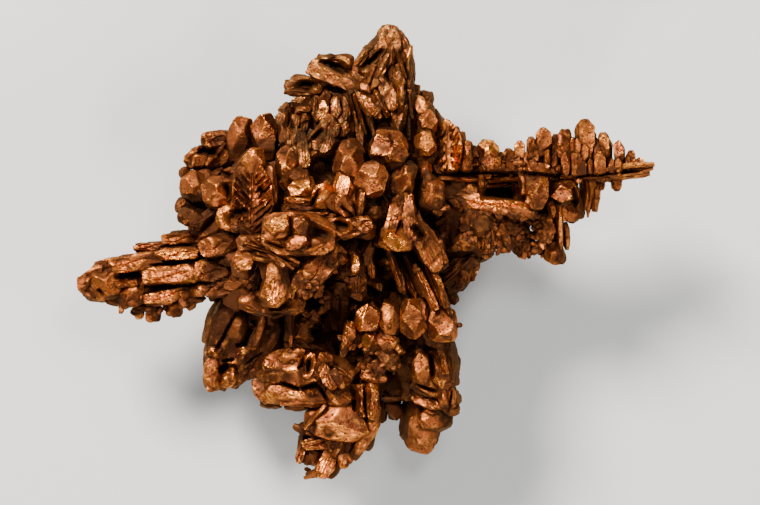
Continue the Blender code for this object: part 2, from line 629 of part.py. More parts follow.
def main():
    for thing in list(bpy.data.objects):
        bpy.data.objects.remove(thing)
    body = nugget()
    hollows = [crystal("slab", placed(*row), random.Random(SEED)) for row in HOLLOWS]
    boolean(body, hollows + [wall()], "DIFFERENCE")
    keep_outer_shell(body)
    thin_out(body)
    body.data.transform(Matrix.Translation(Vector((-MIDDLE[0], -MIDDLE[1], -CUT)) * MM))
    body.data.materials.clear()
    body.data.materials.append(copper_material())


main()
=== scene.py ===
# %% [markdown]
# # A native copper nugget
# Native copper is metal that grew in the ground. Here blocky crystals cover a lumpy core and
# run out into arms: a peak, a fringed spear, a bundle of bars and ragged legs. The CAD frame
# has the crystals as flat cuts. These cells dress it with the same crystals, each one now a
# fine surface with rounded facets, growth steps and pits, and with a patchy tarnish.
#
# The nugget lies on its back and the camera looks straight down at its best face, so +X is to
# the right, +Y is to the top and +Z points at the viewer.

# %% Load the frame
import math
import random

import bpy
import numpy as np
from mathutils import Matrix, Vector


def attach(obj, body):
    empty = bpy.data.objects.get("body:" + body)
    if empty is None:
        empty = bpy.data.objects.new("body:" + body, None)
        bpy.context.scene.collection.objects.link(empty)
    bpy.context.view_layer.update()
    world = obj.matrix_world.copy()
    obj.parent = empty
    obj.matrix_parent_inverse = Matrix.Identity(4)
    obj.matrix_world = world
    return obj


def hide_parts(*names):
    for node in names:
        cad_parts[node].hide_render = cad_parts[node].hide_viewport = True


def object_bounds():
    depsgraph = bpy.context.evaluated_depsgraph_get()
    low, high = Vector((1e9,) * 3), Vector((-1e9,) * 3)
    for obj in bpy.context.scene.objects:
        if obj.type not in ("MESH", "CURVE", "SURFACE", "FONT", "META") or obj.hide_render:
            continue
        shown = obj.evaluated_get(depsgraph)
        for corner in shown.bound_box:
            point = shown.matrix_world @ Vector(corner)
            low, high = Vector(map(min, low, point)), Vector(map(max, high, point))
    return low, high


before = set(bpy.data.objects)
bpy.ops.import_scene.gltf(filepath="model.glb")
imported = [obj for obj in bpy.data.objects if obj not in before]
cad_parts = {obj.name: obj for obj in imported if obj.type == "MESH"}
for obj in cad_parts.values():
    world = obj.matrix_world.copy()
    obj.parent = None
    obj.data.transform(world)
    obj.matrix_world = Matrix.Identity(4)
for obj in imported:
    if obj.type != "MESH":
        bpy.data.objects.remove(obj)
cad_low, cad_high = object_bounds()
MM = 0.001  # metres in a millimetre
print("CAD box, mm:", [round(side / MM, 1) for side in cad_high - cad_low])

# %% [markdown]
# The camera is far away with a long lens, as for a small specimen, so near and far crystals
# keep almost the same scale. One millimetre is six pixels where the foremost crystals stand.

# %% Camera
PIXELS_WIDE = 760
PIXELS_PER_MM = 6.0
VIEW_MIDDLE = (2.44, 0.10, 30.0)  # mm, what the camera looks at
CAMERA_ABOVE = 1200.0  # mm
SENSOR = 36.0  # mm

camera_data = bpy.data.cameras.new("camera")
camera_data.sensor_width = SENSOR
camera_data.lens = SENSOR * CAMERA_ABOVE * PIXELS_PER_MM / PIXELS_WIDE
camera_data.clip_end = 20.0
camera = bpy.data.objects.new("camera", camera_data)
camera.location = (VIEW_MIDDLE[0] * MM, VIEW_MIDDLE[1] * MM, (VIEW_MIDDLE[2] + CAMERA_ABOVE) * MM)
bpy.context.scene.collection.objects.link(camera)
bpy.context.scene.camera = camera
print("lens, mm:", round(camera_data.lens))

# %% [markdown]
# ## Where each crystal is
# A crystal is a block from -1 to 1 along its own length, width and depth, cut by facets. Its
# numbers are x, y and z of its middle, length, width, depth, heading and rise, in millimetres
# and degrees. Heading is the way that the tip points in the XY plane, and rise lifts it towards
# the viewer. The solid has the same rows, so the dressed nugget fits the frame.
#
# A table is written as text, because hundreds of brackets and quotes would hide its numbers.
# Each line names a form and then gives crystals of that form, parted by commas.

# %% How a table is read
def numbers(text):
    """Rows of numbers: commas part the rows, and blanks part the numbers."""
    rows = [row.split() for row in text.split(",") if row.strip()]
    return [tuple(float(word) if "." in word else int(word) for word in row) for row in rows]


def table(text):
    """Rows that start with a form: each line's first word, before each of that line's rows."""
    lines = [line.split(maxsplit=1) for line in text.strip().splitlines()]
    return [(form, *row) for form, rest in lines for row in numbers(rest)]


print("a line with two crystals:", table("knob 1 2 3, 4 5 6"))

# %% Crystals of the upper regions
regions = {
    "peak": table("""
        spear 3 28.9 34 18.4 11 7 87 0
        blade 6.4 28.4 35.4 15.6 3.6 4.6 101 0
        bar -0.8 31.4 35.4 7.2 2.2 3.4 56 0, 1.2 30.6 37.4 6.8 1.4 2.2 50 4
        bar 2.6 31.6 37.8 7.8 1.3 2.2 66 2, 4.6 29.8 38 9.4 1.4 2.2 91 2
        blade 7.2 22.4 36.2 12.4 4 4.6 78 -6
        bar 1.8 24.4 38.6 5.8 3 3.6 -48 10, 4.8 26 38.6 5.4 2.6 3 -74 8
        bar 0.2 27.8 37.2 5.6 2.2 3 222 6
    """),
    "crown": table("""
        blade -5.3 28.9 36 9.8 4.4 4 154 8, -5.2 31.9 34 6.6 2.9 3.6 167 0
        blade -9.8 27.6 33.6 8.4 3.8 4.4 173 0
        knob -10.5 24.4 34 5.2 3.3 5 186 8, -13.4 22.6 33 5.4 3.3 4.6 56 8
        knob -10.9 21.6 36.2 6.4 3.5 3.6 80 32
        bar -7.4 23.6 36.8 7.4 2.5 3.4 -108 8, -4.8 22.8 37.8 7.6 2.1 3.2 -100 10
        bar -3.1 21.3 38.8 8.2 2.6 3.4 -88 12, -1.3 23.3 38 6.8 1.8 3.4 -80 12
        blade 0.4 22.5 38.4 8.8 1.4 3.6 -68 12
        knob -6.7 18.1 40.6 6.4 4.8 4.6 -70 28, -2.5 26.3 37.4 4 2.9 3.6 -90 18
    """),
    "left_shoulder": table("""
        knob -20.8 18.6 34.6 7.6 4.4 5.2 79 10, -16.9 19.4 35.4 7.4 4.6 5.4 94 12
        slab -24.9 18.4 32.6 5.6 3.8 4.6 15 4
        knob -27.8 15.4 31.8 5 4.2 4.8 140 16, -27.4 11 32.6 7.4 6.4 6.8 196 24
        spear -18.9 10.8 40.4 13.6 8.8 6.4 91 9
        knob -25 9.8 37.6 5.6 4.6 4.6 120 50
        slab -21.5 5.2 40.2 7.4 3.9 4.8 -18 8
        bar -26.3 6 35.2 6.8 2.5 3.6 38 4
        knob -30 7.6 31 4 3 3.4 190 8, -12.8 14.5 39.8 7 4.2 4.6 95 26
        knob -10.3 15.8 41.6 7.4 2.9 3.6 -82 15, -13.7 19.5 37.6 4.4 2.4 3 -80 16
        bar -12 19.3 38.6 4.2 1.7 2.8 -84 20
    """),
    "heart": table("""
        knob -2.8 15.8 42.4 8.6 4.9 5 60 66, 3.8 17.4 42.8 9 6.5 5.8 -75 60
        knob 1 12 44.8 8.6 5.3 5.3 100 70, -3.3 11.3 44.4 7.6 3.7 4.4 95 48
        knob 6.3 12.2 42.4 7.6 3.5 4.2 55 42, 10.5 9.6 39.4 9.6 4 4.6 100 50
        knob 9.8 18 38.8 6.6 3.3 4.2 90 30, 10 22.2 36.8 6.4 3.3 4.4 95 16
        slab 9.4 24.3 33.6 6 3.6 5 75 4, 12.4 20.6 34 7.4 3 5.2 117 6
        knob -10.5 10.7 43.2 7.8 4.5 4.8 110 42
        bar -7.1 9.2 44.4 6.4 2.6 3.8 70 20
        slab -10.1 6.9 44.2 8.8 2.9 5.2 -4 8, -4.4 7.7 46.6 5.6 3.3 3.8 148 16
        bar -0.8 8.6 47.2 5 1.8 3.4 84 24
        knob 0.9 6.3 46.8 3.8 2.4 3 20 24
        slab -1.6 4.2 46.4 6.6 4.4 6.2 -10 20
    """),
    "hoppers": table("""
        slab -11.2 2.9 45.2 12 6.4 7 -8 6
        knob -14.5 4.1 47.6 5.2 4.5 4.4 150 36, -11.2 3.9 48.2 5.2 3.9 4 60 44
        knob -11.2 1.2 48 5.2 3.1 3.8 -20 30
        bar -7.6 1 47 5.6 1.7 4 15 8
        blade -16.6 1.2 45.6 10.6 1.7 4.6 -36 5, -17.7 -0.5 45.4 9.6 1.5 4.6 -38 5
        knob -20.3 -1.8 43.6 6.2 4.1 4.6 -110 30
        blade -15.2 -4.5 45.6 8.8 4.2 4.4 -80 4
        slab -7.8 -2.6 43.2 10.8 5.2 5.6 46 6
        knob -12.4 -6 43 5.2 2.7 3.8 -100 16
        slab -15.2 -8.8 39.6 9.8 3.7 5.2 4 6, 5.2 6.2 43.6 7.2 3.5 4.2 68 4
        blade 8 5.3 44.4 6.4 2.3 3.8 100 10
        slab 4.8 2.1 44.4 7 3.1 4.8 2 10, 10.2 0.4 41.4 9.2 3.7 4.8 -46 3
        knob 0.2 0.6 42 7 2.7 3.4 -100 20
        bar -2.3 -0.3 42.4 7 2.3 3.4 -95 20
    """),
    "hollow": table("""
        knob -1.3 -4.9 37 8.6 3.2 4.6 -95 56, 1.3 -4.3 35.6 8 2.2 3 -60 62
        knob -6.6 -7.6 32.6 9.4 2.6 3.4 -90 70, -1.6 -8.1 33.6 7.4 2.4 3.2 -100 60
        knob -9.2 -10.1 33.2 7.6 2.5 3.2 -60 66, -10.6 -13 33.4 6.6 3 3.8 -88 40
        bar -12.7 -11.6 34.6 7.4 2.4 4.6 -92 8
    """),
    "spine": table("""
        blade 30 13.5 35.5 36.4 2.8 6.2 1.2 0
        slab 22 13.4 33.4 20 5.2 6.4 1 0
        knob 13.7 17.3 36.2 8.4 3.3 4.6 80 4, 15.9 17 36.6 6.8 2.5 3.8 95 4
        knob 17.2 16 37.6 5.2 1.8 2.8 92 8
        slab 20.5 16.2 35.8 5.6 3.5 4.2 90 4
    """),
    "spear_root": table("""
        knob 28.6 10.3 37.4 7.8 4.6 5.4 90 9
        bar 27 11.6 36.8 5.8 1.9 4.2 96 4
        knob 33 9.9 35.8 5.4 4.5 5.2 75 24
        bar 36.4 9.8 34.6 7 1.8 3 -90 0, 38.2 10.2 34.6 6.4 1.5 2.8 -97 0
        knob 42 11.6 34.6 3.4 1.9 2.6 -86 0
        slab 19.4 8.2 34.4 14 2.9 5.2 -12 2, 22.6 3 32 9.8 7.4 6.4 -8 0, 26.2 7.2 31.6 13 8 6 4 0
        knob 29.9 3.7 33.4 5.4 3.9 4.6 -84 12
        bar 32.3 2.7 32.2 9 1.8 3.8 -90 0
        knob 31 0.1 31.4 5 3.1 3.8 -96 0, 34 6.4 31.6 4.8 3.1 3.8 -60 8
        knob 26.9 0.6 31.2 4.4 2.8 3.4 -100 8, 16.8 2 35.4 5 3.3 3.8 -70 34
        slab 15.6 -3.6 31 8 6.4 6.4 50 0, 18.2 -0.8 30.6 6.8 4.6 5.4 20 0
        knob 13 3 35 5.2 3 3.6 -80 34
    """),
}
print("upper regions:", {name: len(rows) for name, rows in regions.items()})

# %% Crystals of the legs and the arm
regions |= {
    "right_leg": table("""
        slab 9.4 -5.6 37.4 13 6.8 5.2 -64 0
        knob 8 -10.9 39 6.4 4.5 5.2 -80 20, 12.7 -11.7 39 6.4 4.6 5.4 -72 16
        knob 13.5 -18.1 32.8 9.8 4 4.8 -79 0
        bar 9.6 -18.8 33.2 5.8 2.2 3.6 -72 4
        slab 10.6 -23.2 31 7.2 2.8 4.6 -22 0
        knob 14.1 -24.2 31.6 4.8 3.5 4.2 -60 20, 11.6 -27.4 26.8 6.2 5.7 5.6 -70 8
        knob 8.9 -28.3 20.6 10.2 6.9 7.4 -86 0, 6.2 -17.4 27 7 4.8 5.4 -80 24
        knob 4.6 -22.3 25.6 6.6 4.6 5.4 -95 16
        bar 4.7 -25.9 23.4 5.2 2.9 3.6 -88 0
    """),
    "lower_body": table("""
        knob 0.7 -10.9 36.8 6.4 4.1 4.6 -102 20
        slab 4.5 -9.9 35 7.2 3.4 4.6 -86 6
        bar -2.6 -13.8 35.4 6.8 2.5 3.8 -112 8
        slab 3 -16.8 35.2 6.4 4.8 4.8 -50 8
        knob 1 -19.5 34.8 4.8 2.9 3.8 -80 12
        bar -0.6 -24 33 6.4 1.9 3.4 -82 4, 1.3 -24.2 33.4 6.8 2.1 3.6 -86 4
        slab -7.6 -18.4 33.6 13.4 5.2 6.4 -24 6, -12.6 -17.6 32.4 7.4 4.6 5.4 -150 4
        slab -10.4 -20.9 32.8 10.4 4 5.6 -20 4
        knob -4.6 -21.4 34.2 6.4 3.8 4.6 -80 10, -16.4 -22.4 31 6.4 3.8 4.8 -62 0
        slab -10.8 -24.3 32 9.4 3 5.4 -16 0
        blade -5 -27.6 31 10.8 5.6 5.6 176 4
        knob -3.6 -25 32.4 5.6 3.6 4.4 100 10
        blade -0.8 -30.6 28.8 9.8 3 4.8 62 0
        slab -7.2 -30.4 28.8 8.8 3.4 5 170 0, -5.4 -34.8 28 7.2 4 4.8 64 0
        bar -10.8 -33 28 5.4 2.1 3.2 -96 0, -8.6 -37 27.8 3.6 1.3 2.2 195 0
    """),
    "left_lobe": table("""
        slab -22.4 -13.4 24.6 16.6 8.6 9.6 -112 0
        knob -24.4 -10.9 27.2 11.4 4.4 5.6 -116 0, -20.9 -12 28.6 10.4 3.6 5.2 -114 0
        knob -17.8 -13.2 28.4 9.4 3.2 4.8 -116 0, -15 -14.6 27.2 10.4 4.2 5.2 -119 0
        knob -25 -19.4 25.4 8.2 4.6 6.4 -98 0, -21.8 -20 24.6 6.6 3.8 5.6 -104 0
    """),
    "left_arm": table("""
        slab -32.6 -3.3 28.6 21 7.2 5.6 187 0
        knob -43.6 -5.2 30.2 9.4 6.1 6.4 186 0
        bar -30.4 2.3 29 8.4 2.6 4.4 184 0, -35.3 0.8 29.4 7.4 2.2 4 184 0
        bar -36.7 -1.4 30.8 17.2 3 5.4 188 0, -30.4 -0.4 32.2 9.4 2.5 4.4 187 0
        bar -30 -3.9 32.2 14.8 3.3 5 188 0, -33.4 -7 30.4 12.4 2.8 5 189 0
        knob -38.8 -7.5 30.4 5.6 3.6 4.8 200 8, -35.6 -9.9 28.6 4 2.6 3.2 -95 0
        knob -32.1 -9.1 28.6 4.2 2.5 3.2 -80 0, -24.4 1 35.8 6.8 4.5 5.2 205 8
        slab -24.8 -4.2 32.4 8.4 5.2 6.2 190 4
        knob -21.4 -6.7 33.8 7 4.1 5.2 -120 16
    """),
}
print("regions so far:", len(regions))

# %% [markdown]
# The spear carries a fringe of small upright crystals, and thin ribs run side by side under the
# heart. Only a few of their sizes differ from one to the next, so the rest is worked out.

# %% Fringe and ribs
FRINGE_FOOT = 12.8  # mm, the y that the fringe stands on
FRINGE_HEIGHT, SPEAR_TOP, RIB_HEIGHT = 35.6, 37.0, 40.4  # mm, z of their middles

# On the spear's upper edge: x and y of the tip, width.
fringe_tips = numbers("""
    23.7 17.6 2, 25.7 18.3 2.4, 27.6 18.9 2.1, 29.8 20.6 3.2, 31.6 18.8 2.1, 33.4 19.6 3.2,
    36.7 22 4.1, 38.7 18.4 1.9, 40.2 19.6 2.6, 42.3 18.3 2.2, 44.4 16.6 1.8
""")
# On the spear's face: x and y of the middle, width, length.
spear_buds = numbers("""
    20.8 15.2 2.8 3.4, 30.3 14.4 2.6 3.4, 33.5 15.2 2 3.6, 35.4 14 2.4 4.6, 39.2 14.7 2.2 4,
    42 14.5 2.4 3
""")
# The ribs: x and y of the middle, length, width, heading.
ribs = numbers("""
    5.3 -3.2 7.4 1.2 -70, 8 -4.2 7.8 1.3 -66, 10.2 -6 9.2 1.8 -64, 12.3 -6.6 7.6 1.3 -68
""")

regions["fringe"] = [
    ("bud", x, (y + FRINGE_FOOT) / 2, FRINGE_HEIGHT, y - FRINGE_FOOT, width, width * 1.3, 90, 2)
    for x, y, width in fringe_tips
]
regions["fringe"] += [
    ("bud", x, y, SPEAR_TOP, length, width, 3.2, 88, 8) for x, y, width, length in spear_buds
]
regions["ribs"] = [
    ("bar", x, y, RIB_HEIGHT, length, width, 4.4, heading, 0)
    for x, y, length, width, heading in ribs
]
print("fringe:", len(regions["fringe"]), "ribs:", len(regions["ribs"]))

# %% [markdown]
# The crystals grow from a core of rough lumps. The back can't be seen, so crystals like those in
# front are spread over it on a spiral of even steps, and stout ones fan out round the foot.

# %% Core, foot and back
SEED = 4
CUT = 8.0  # mm, the plane that the back is cut to, in the tables' frame
MIDDLE = (-0.11, -0.18)  # mm, the middle of the nugget's box, in the tables' frame
GOLDEN = math.pi * (3.0 - math.sqrt(5.0))  # radians, the turn from one spiral step to the next

# The lumps: x, y, z of the middle, the three half axes, how many crystals cover it, their length.
CORE = numbers("""
    -8 9 27 15.5 12.5 15 7 13, 2.5 21 29 8 8.5 8 4 10.5, 1 -4 23 12 14 12 5 12,
    -4 -19.5 25 9 7.5 8 4 10, -17.5 -12 24 6.5 8.5 7 3 9.5, -22.5 3.5 30 7 5 7 2 8.5,
    15.5 7 31 9.5 9 6.5 4 10.5, 8.2 -17.5 25 4.5 9 7 3 9
""")
BACK_WIDTH = 0.7  # of the length
BACK_REACH = 0.62  # of the lump's half axes, where the crystals' middles are
BACK_DROP, BACK_SPAN = 0.05, 0.9  # where the spiral starts below the lump's middle, and its span
BACK_TURN = (-0.3, 0.3)  # radians, off the spiral
BACK_LENGTH = (0.85, 1.1)  # of the lump's own length
BACK_HEADING, BACK_RISE = (-16, 16), (-12, 6)  # degrees, off the way out

FOOT = (-5.0, 0.5, 17.0, 15.5, 17.0, 15.0)  # middle and half axes of the lump
FOOT_COUNT = 9
FOOT_SIZE = (13.0, 16.0)  # mm, shortest and longest
FOOT_HEIGHT = 15.0  # mm, of the crystals' middles
FOOT_REACH = 0.66  # of the lump's half axes
FOOT_TURN = (-10, 10)  # degrees, off the equal turns
FOOT_WIDTH = (0.52, 0.66)  # of the length
FOOT_RAISED = (-1.5, 3.0)  # mm, off that height
FOOT_RISE = (-38, -14)  # degrees


def foot_rows(rng):
    """Stout crystals that fan out round the foot, tips down, at equal turns and a bit at random."""
    rows = []
    x, y, _, half_x, half_y, _ = FOOT
    for step in range(FOOT_COUNT):
        heading = 360 * step / FOOT_COUNT + rng.uniform(*FOOT_TURN)
        out = math.radians(heading)
        length = rng.uniform(*FOOT_SIZE)
        width = length * rng.uniform(*FOOT_WIDTH)
        middle = (x + FOOT_REACH * half_x * math.cos(out), y + FOOT_REACH * half_y * math.sin(out))
        height = FOOT_HEIGHT + rng.uniform(*FOOT_RAISED)
        rise = rng.uniform(*FOOT_RISE)
        rows.append(("knob", *middle, height, length, width, width, heading, rise))
    return rows


def back_rows(rng):
    """Crystals over the back and the sides of every lump: step n is turned by n golden angles."""
    rows = []
    for x, y, z, half_x, half_y, half_z, count, size in CORE:
        for step in range(count):
            drop = BACK_DROP + BACK_SPAN * (step + 0.5) / count
            ring = math.sqrt(1.0 - drop * drop)
            turn = GOLDEN * step + rng.uniform(*BACK_TURN)
            out = Vector((ring * math.cos(turn), ring * math.sin(turn), -drop))
            length = size * rng.uniform(*BACK_LENGTH)
            width = length * BACK_WIDTH
            across = (BACK_REACH * half_x * out.x, BACK_REACH * half_y * out.y)
            spot = Vector((x + across[0], y + across[1], z + BACK_REACH * half_z * out.z))
            heading = math.degrees(math.atan2(out.y, out.x)) + rng.uniform(*BACK_HEADING)
            rise = math.degrees(math.asin(out.z)) + rng.uniform(*BACK_RISE)
            rows.append(("knob", *spot, length, width, width, heading, rise))
    return rows


rng = random.Random(SEED)
regions["foot"] = foot_rows(rng)
regions["back"] = back_rows(rng)
print("crystals in all regions:", sum(len(rows) for rows in regions.values()))

# %% [markdown]
# ## Facets
# Copper crystals are blocks whose corners and edges are cut off by facets. A facet is a normal
# and a distance in the crystal's own box. It leans towards the tip by some degrees, at a turn
# round the crystal's length. Each kind of crystal has rules, so that no two of a kind are alike:
# a rule is the lean, the turn, what is added to the turn, and the distance, and where it gives
# two numbers, one between them is drawn.

# %% Facets of each kind of crystal
SIDES = (0, 180)
RULES = {
    # A small crystal of four sides that ends in a roof.
    "bud": [((0, 5), turn, (-14, 14), (0.9, 1.0)) for turn in (0, 90, 180, 270)]
    + [((50, 62), turn, (-20, 20), (0.94, 1.02)) for turn in SIDES],
    # A long crystal of five uneven sides, with a blunt tip.
    "bar": [((-1, 4), turn, (-9, 9), (0.88, 0.98)) for turn in (0, 62, 130, 180, 270)]
    + [((32, 44), turn, (-20, 20), (0.98, 1.1)) for turn in (10, 130, 250)]
    + [(-40, 0, (0, 180), 1.05)],
    # A thick block with its corners cut off.
    "slab": [((-3, 5), turn, (-8, 8), (0.9, 0.98)) for turn in (0, 90, 180, 270)]
    + [rule for turn in SIDES for rule in (
        ((38, 52), turn, 0, (1.06, 1.2)),
        ((-52, -38), turn, 0, (1.06, 1.2)),
        ((8, 20), turn, (40, 50), (1.08, 1.18)),
    )],
    # A thin crystal with a ridge along it, drawn out to a point.
    "blade": [rule for turn in SIDES for rule in (
        ((24, 32), turn, 0, (0.8, 0.92)),
        ((0, 5), turn, (-50, -62), (0.84, 0.94)),
        ((0, 5), turn, (50, 62), (0.84, 0.94)),
    )]
    + [((26, 32), turn, 0, (0.94, 1.0)) for turn in (90, 270)]
    + [(-38, 0, 0, 1.0)],
    # A leaf-shaped crystal, widest near its foot, with a ridge down its middle.
    "leaf": [rule for turn in SIDES for rule in (
        (52, turn, 0, (0.87, 0.90)),
        (10, turn, 0, 0.93),
        (-34, turn, 0, (1.0, 1.06)),
        (9, turn + 58, 0, (0.86, 0.90)),
    )],
    # Nothing but the facets that every form gets later.
    "round": [],
}


def facets_of(kind, rng):
    """A normal (sin lean, cos lean cos turn, cos lean sin turn) and a distance for each rule."""
    facets = []
    for rule in RULES[kind]:
        drawn = [rng.uniform(*part) if isinstance(part, tuple) else part for part in rule]
        lean, turn, added, distance = drawn
        lean, turn = math.radians(lean), math.radians(turn + added)
        across = math.cos(lean)
        normal = (math.sin(lean), across * math.cos(turn), across * math.sin(turn))
        facets.append((normal, distance))
    return facets


print("facets of each kind:", {kind: len(rules) for kind, rules in RULES.items()})

# %% [markdown]
# ## Noise
# Nothing grown is quite flat. Value noise gives each cell of a lattice a number and blends the
# eight numbers round a point, and it works on a whole array of points at once.

# %% Noise
def ramp(low, high, value):
    """0 below low, 1 above high, and the smooth step w * w * (3 - 2 w) between them."""
    part = np.clip((value - low) / (high - low), 0.0, 1.0)
    return part * part * (3.0 - 2.0 * part)


def lattice(cells, seed):
    """A number from 0 to 1 for each cell: the fraction left by a large multiple of a sine."""
    mixed = np.sin(cells @ np.array((127.1, 311.7, 74.7)) + 17.0 * seed) * 43758.5453
    return mixed - np.floor(mixed)


def noise(points, size, seed=0):
    """Noise from -1 to 1: the values at a cell's eight corners, blended by w * w * (3 - 2 w)."""
    scaled = points / size
    cell = np.floor(scaled)
    part = scaled - cell
    share = part * part * (3.0 - 2.0 * part)
    total = np.zeros(len(points))
    for corner in np.ndindex(2, 2, 2):
        weight = np.prod(np.where(corner, share, 1.0 - share), axis=1)
        total += weight * lattice(cell + np.array(corner), seed)
    return 2.0 * total - 1.0


def cells(points, size, seed=0):
    """How far the nearest of points scattered one to a lattice cell is, and that point's number."""
    scaled = points / size
    cell = np.floor(scaled - 0.5)
    nearest = np.full(len(points), 9.0)
    number = np.zeros(len(points))
    for corner in np.ndindex(2, 2, 2):
        here = cell + np.array(corner)
        spot = np.stack([lattice(here, seed + axis) for axis in (0, 1, 2)], axis=1) * 0.7 + 0.15
        away = np.sqrt(((here + spot - scaled) ** 2).sum(axis=1))
        closer = away < nearest
        nearest = np.where(closer, away, nearest)
        number = np.where(closer, lattice(here, seed + 3), number)
    return nearest, number


print("noise at two points:", noise(np.array([[0.0, 0.0, 0.0], [0.5, 0.2, 0.9]]), 1.0).round(2))

# %% [markdown]
# ## The surface of one crystal
# A crystal is star-shaped: every ray from its middle meets its surface once. So it is a function
# of two angles on a grid, from its tip round to its base. Along a ray u the facet (n, d) lies at
# d / (n . u), and the crystal ends at the nearest facet. A high power mean of all the facets
# takes that nearest one and rounds the edges. A ball round the box takes off the corners, and a
# few extra facets that touch the ball keep the crystal angular there. Where one facet is much
# nearer than the next, the ray is in the middle of that facet. It is sunk a little, because such
# crystals grow faster along their edges.

# %% Grid of rays
def sphere_grid(rings, turns):
    """Unit rays: the tip, rings from tip to base, and the base. Turns crowd on the upper side."""
    polar = math.pi * np.arange(1, rings + 1) / (rings + 1)
    step = 2.0 * math.pi * np.arange(turns) / turns
    azimuth = step + 0.45 * np.cos(step)
    polar, azimuth = np.meshgrid(polar, azimuth, indexing="ij")
    across = np.sin(polar)
    rays = np.stack((np.cos(polar), across * np.cos(azimuth), across * np.sin(azimuth)), axis=-1)
    return np.concatenate(([[1.0, 0.0, 0.0]], rays.reshape(-1, 3), [[-1.0, 0.0, 0.0]]))


def sphere_faces(rings, turns):
    """Triangles over that grid: a fan at each pole and two for each cell between, facing out."""
    ring, turn = np.meshgrid(np.arange(rings - 1), np.arange(turns), indexing="ij")
    ring, turn = ring.ravel(), turn.ravel()
    a = 1 + ring * turns + turn
    b = 1 + ring * turns + (turn + 1) % turns
    c, d = a + turns, b + turns
    edge = np.arange(turns)
    follow = (edge + 1) % turns
    last = 1 + rings * turns
    low = last - turns
    tip = np.stack((np.zeros(turns, int), 1 + edge, 1 + follow), axis=1)
    base = np.stack((np.full(turns, last), low + follow, low + edge), axis=1)
    return np.concatenate((tip, np.stack((a, c, b), axis=1), np.stack((b, c, d), axis=1), base))


print("rays in a small grid:", len(sphere_grid(4, 7)), "triangles:", len(sphere_faces(4, 7)))

# %% Radius of a crystal
EDGE_POWER = 44.0  # more makes sharper edges
BALL_POWER = 2.5  # 2 is a round ball, more is a box with round edges
BALL_SCALE = 1.13  # the ball that rounds, against the ball that the extra facets touch


def all_facets(facets):
    """The normals and the distances of a crystal's facets and of its two ends, as arrays."""
    normals = np.array([normal for normal, _ in facets] + [(1.0, 0.0, 0.0), (-1.0, 0.0, 0.0)])
    return normals, np.array([distance for _, distance in facets] + [1.0, 1.0])


def crystal_radius(rays, facets, ball, sunk):
    """How far the surface is along each ray, how near the ray is to an edge, and its facet's tone.

    The radius is (sum of (n . u / d) ** p, with the ball as one of the terms) ** (-1 / p), less
    what the middle of the facet is sunk by. The ball is where |x|^q + |y|^q + |z|^q is ball^q.
    """
    normals, distances = all_facets(facets)
    reach = np.maximum(rays @ normals.T, 0.0) / distances
    round_reach = (np.abs(rays) ** BALL_POWER).sum(axis=1) ** (1.0 / BALL_POWER) / ball
    radius = ((reach**EDGE_POWER).sum(axis=1) + round_reach**EDGE_POWER) ** (-1.0 / EDGE_POWER)
    ordered = np.sort(reach, axis=1)
    inner = (ordered[:, -1] - ordered[:, -2]) / ordered[:, -1]
    radius = radius * (1.0 - sunk * ramp(0.03, 0.15, inner) * (1.0 + 0.5 * ramp(0.2, 0.24, inner)))
    face = (reach.argmax(axis=1) * 0.6180339) % 1.0
    return radius, 1.0 - ramp(0.0, 0.07, inner), face


def chamfers(count, ball, rng):
    """Facets that just cut into the ball, in even but unequal steps over it.

    A plane across n touches the ball at ball * (|x|^t + |y|^t + |z|^t) ^ (1 / t), where t is
    q / (q - 1).
    """
    extra = []
    twin = BALL_POWER / (BALL_POWER - 1.0)
    start = rng.uniform(0, 6.3)
    for step in range(count):
        height = 1.0 - 2.0 * (step + rng.uniform(0.15, 0.85)) / count
        ring = math.sqrt(1.0 - height * height)
        turn = start + GOLDEN * step + rng.uniform(-0.35, 0.35)
        normal = (height, ring * math.cos(turn), ring * math.sin(turn))
        touch = ball * sum(abs(part) ** twin for part in normal) ** (1.0 / twin)
        extra.append((normal, touch * rng.uniform(0.82, 1.0)))
    return extra


print("extra facets of a lump:", len(chamfers(30, 1.0, random.Random(0))))

# %% [markdown]
# The grid is then put in its place, and its points are moved in and out along their normals, so
# that lumps, chips, folds and pits are real geometry and show at the outline too.

# %% Place and roughness
def place_of(x, y, z, length, width, depth, heading, rise):
    """The 3 x 3 matrix and the middle that take a crystal's box to its place, in mm."""
    turn, lift = math.radians(heading), math.radians(rise)
    level = math.cos(lift)
    along = np.array((level * math.cos(turn), level * math.sin(turn), math.sin(lift)))
    side = np.array((-math.sin(turn), math.cos(turn), 0.0))
    up = np.cross(along, side)
    axes = np.stack((along * length / 2, side * width / 2, up * depth / 2), axis=1)
    return axes, np.array((x, y, z))


def grid_normals(points, rings, turns):
    """Outward normals: the cross product of the steps along the rings and along the turns."""
    grid = points[1:-1].reshape(rings, turns, 3)
    tip, base = (np.broadcast_to(points[end], (1, turns, 3)) for end in (0, -1))
    full = np.concatenate((tip, grid, base))
    down = full[2:] - full[:-2]
    around = np.roll(grid, -1, axis=1) - np.roll(grid, 1, axis=1)
    normals = np.cross(down, around).reshape(-1, 3)
    normals /= np.maximum(np.linalg.norm(normals, axis=1, keepdims=True), 1e-9)
    middle = points.mean(axis=0)
    ends = np.stack((points[0] - middle, points[-1] - middle))
    ends /= np.linalg.norm(ends, axis=1, keepdims=True)
    return np.concatenate((ends[:1], normals, ends[1:]))


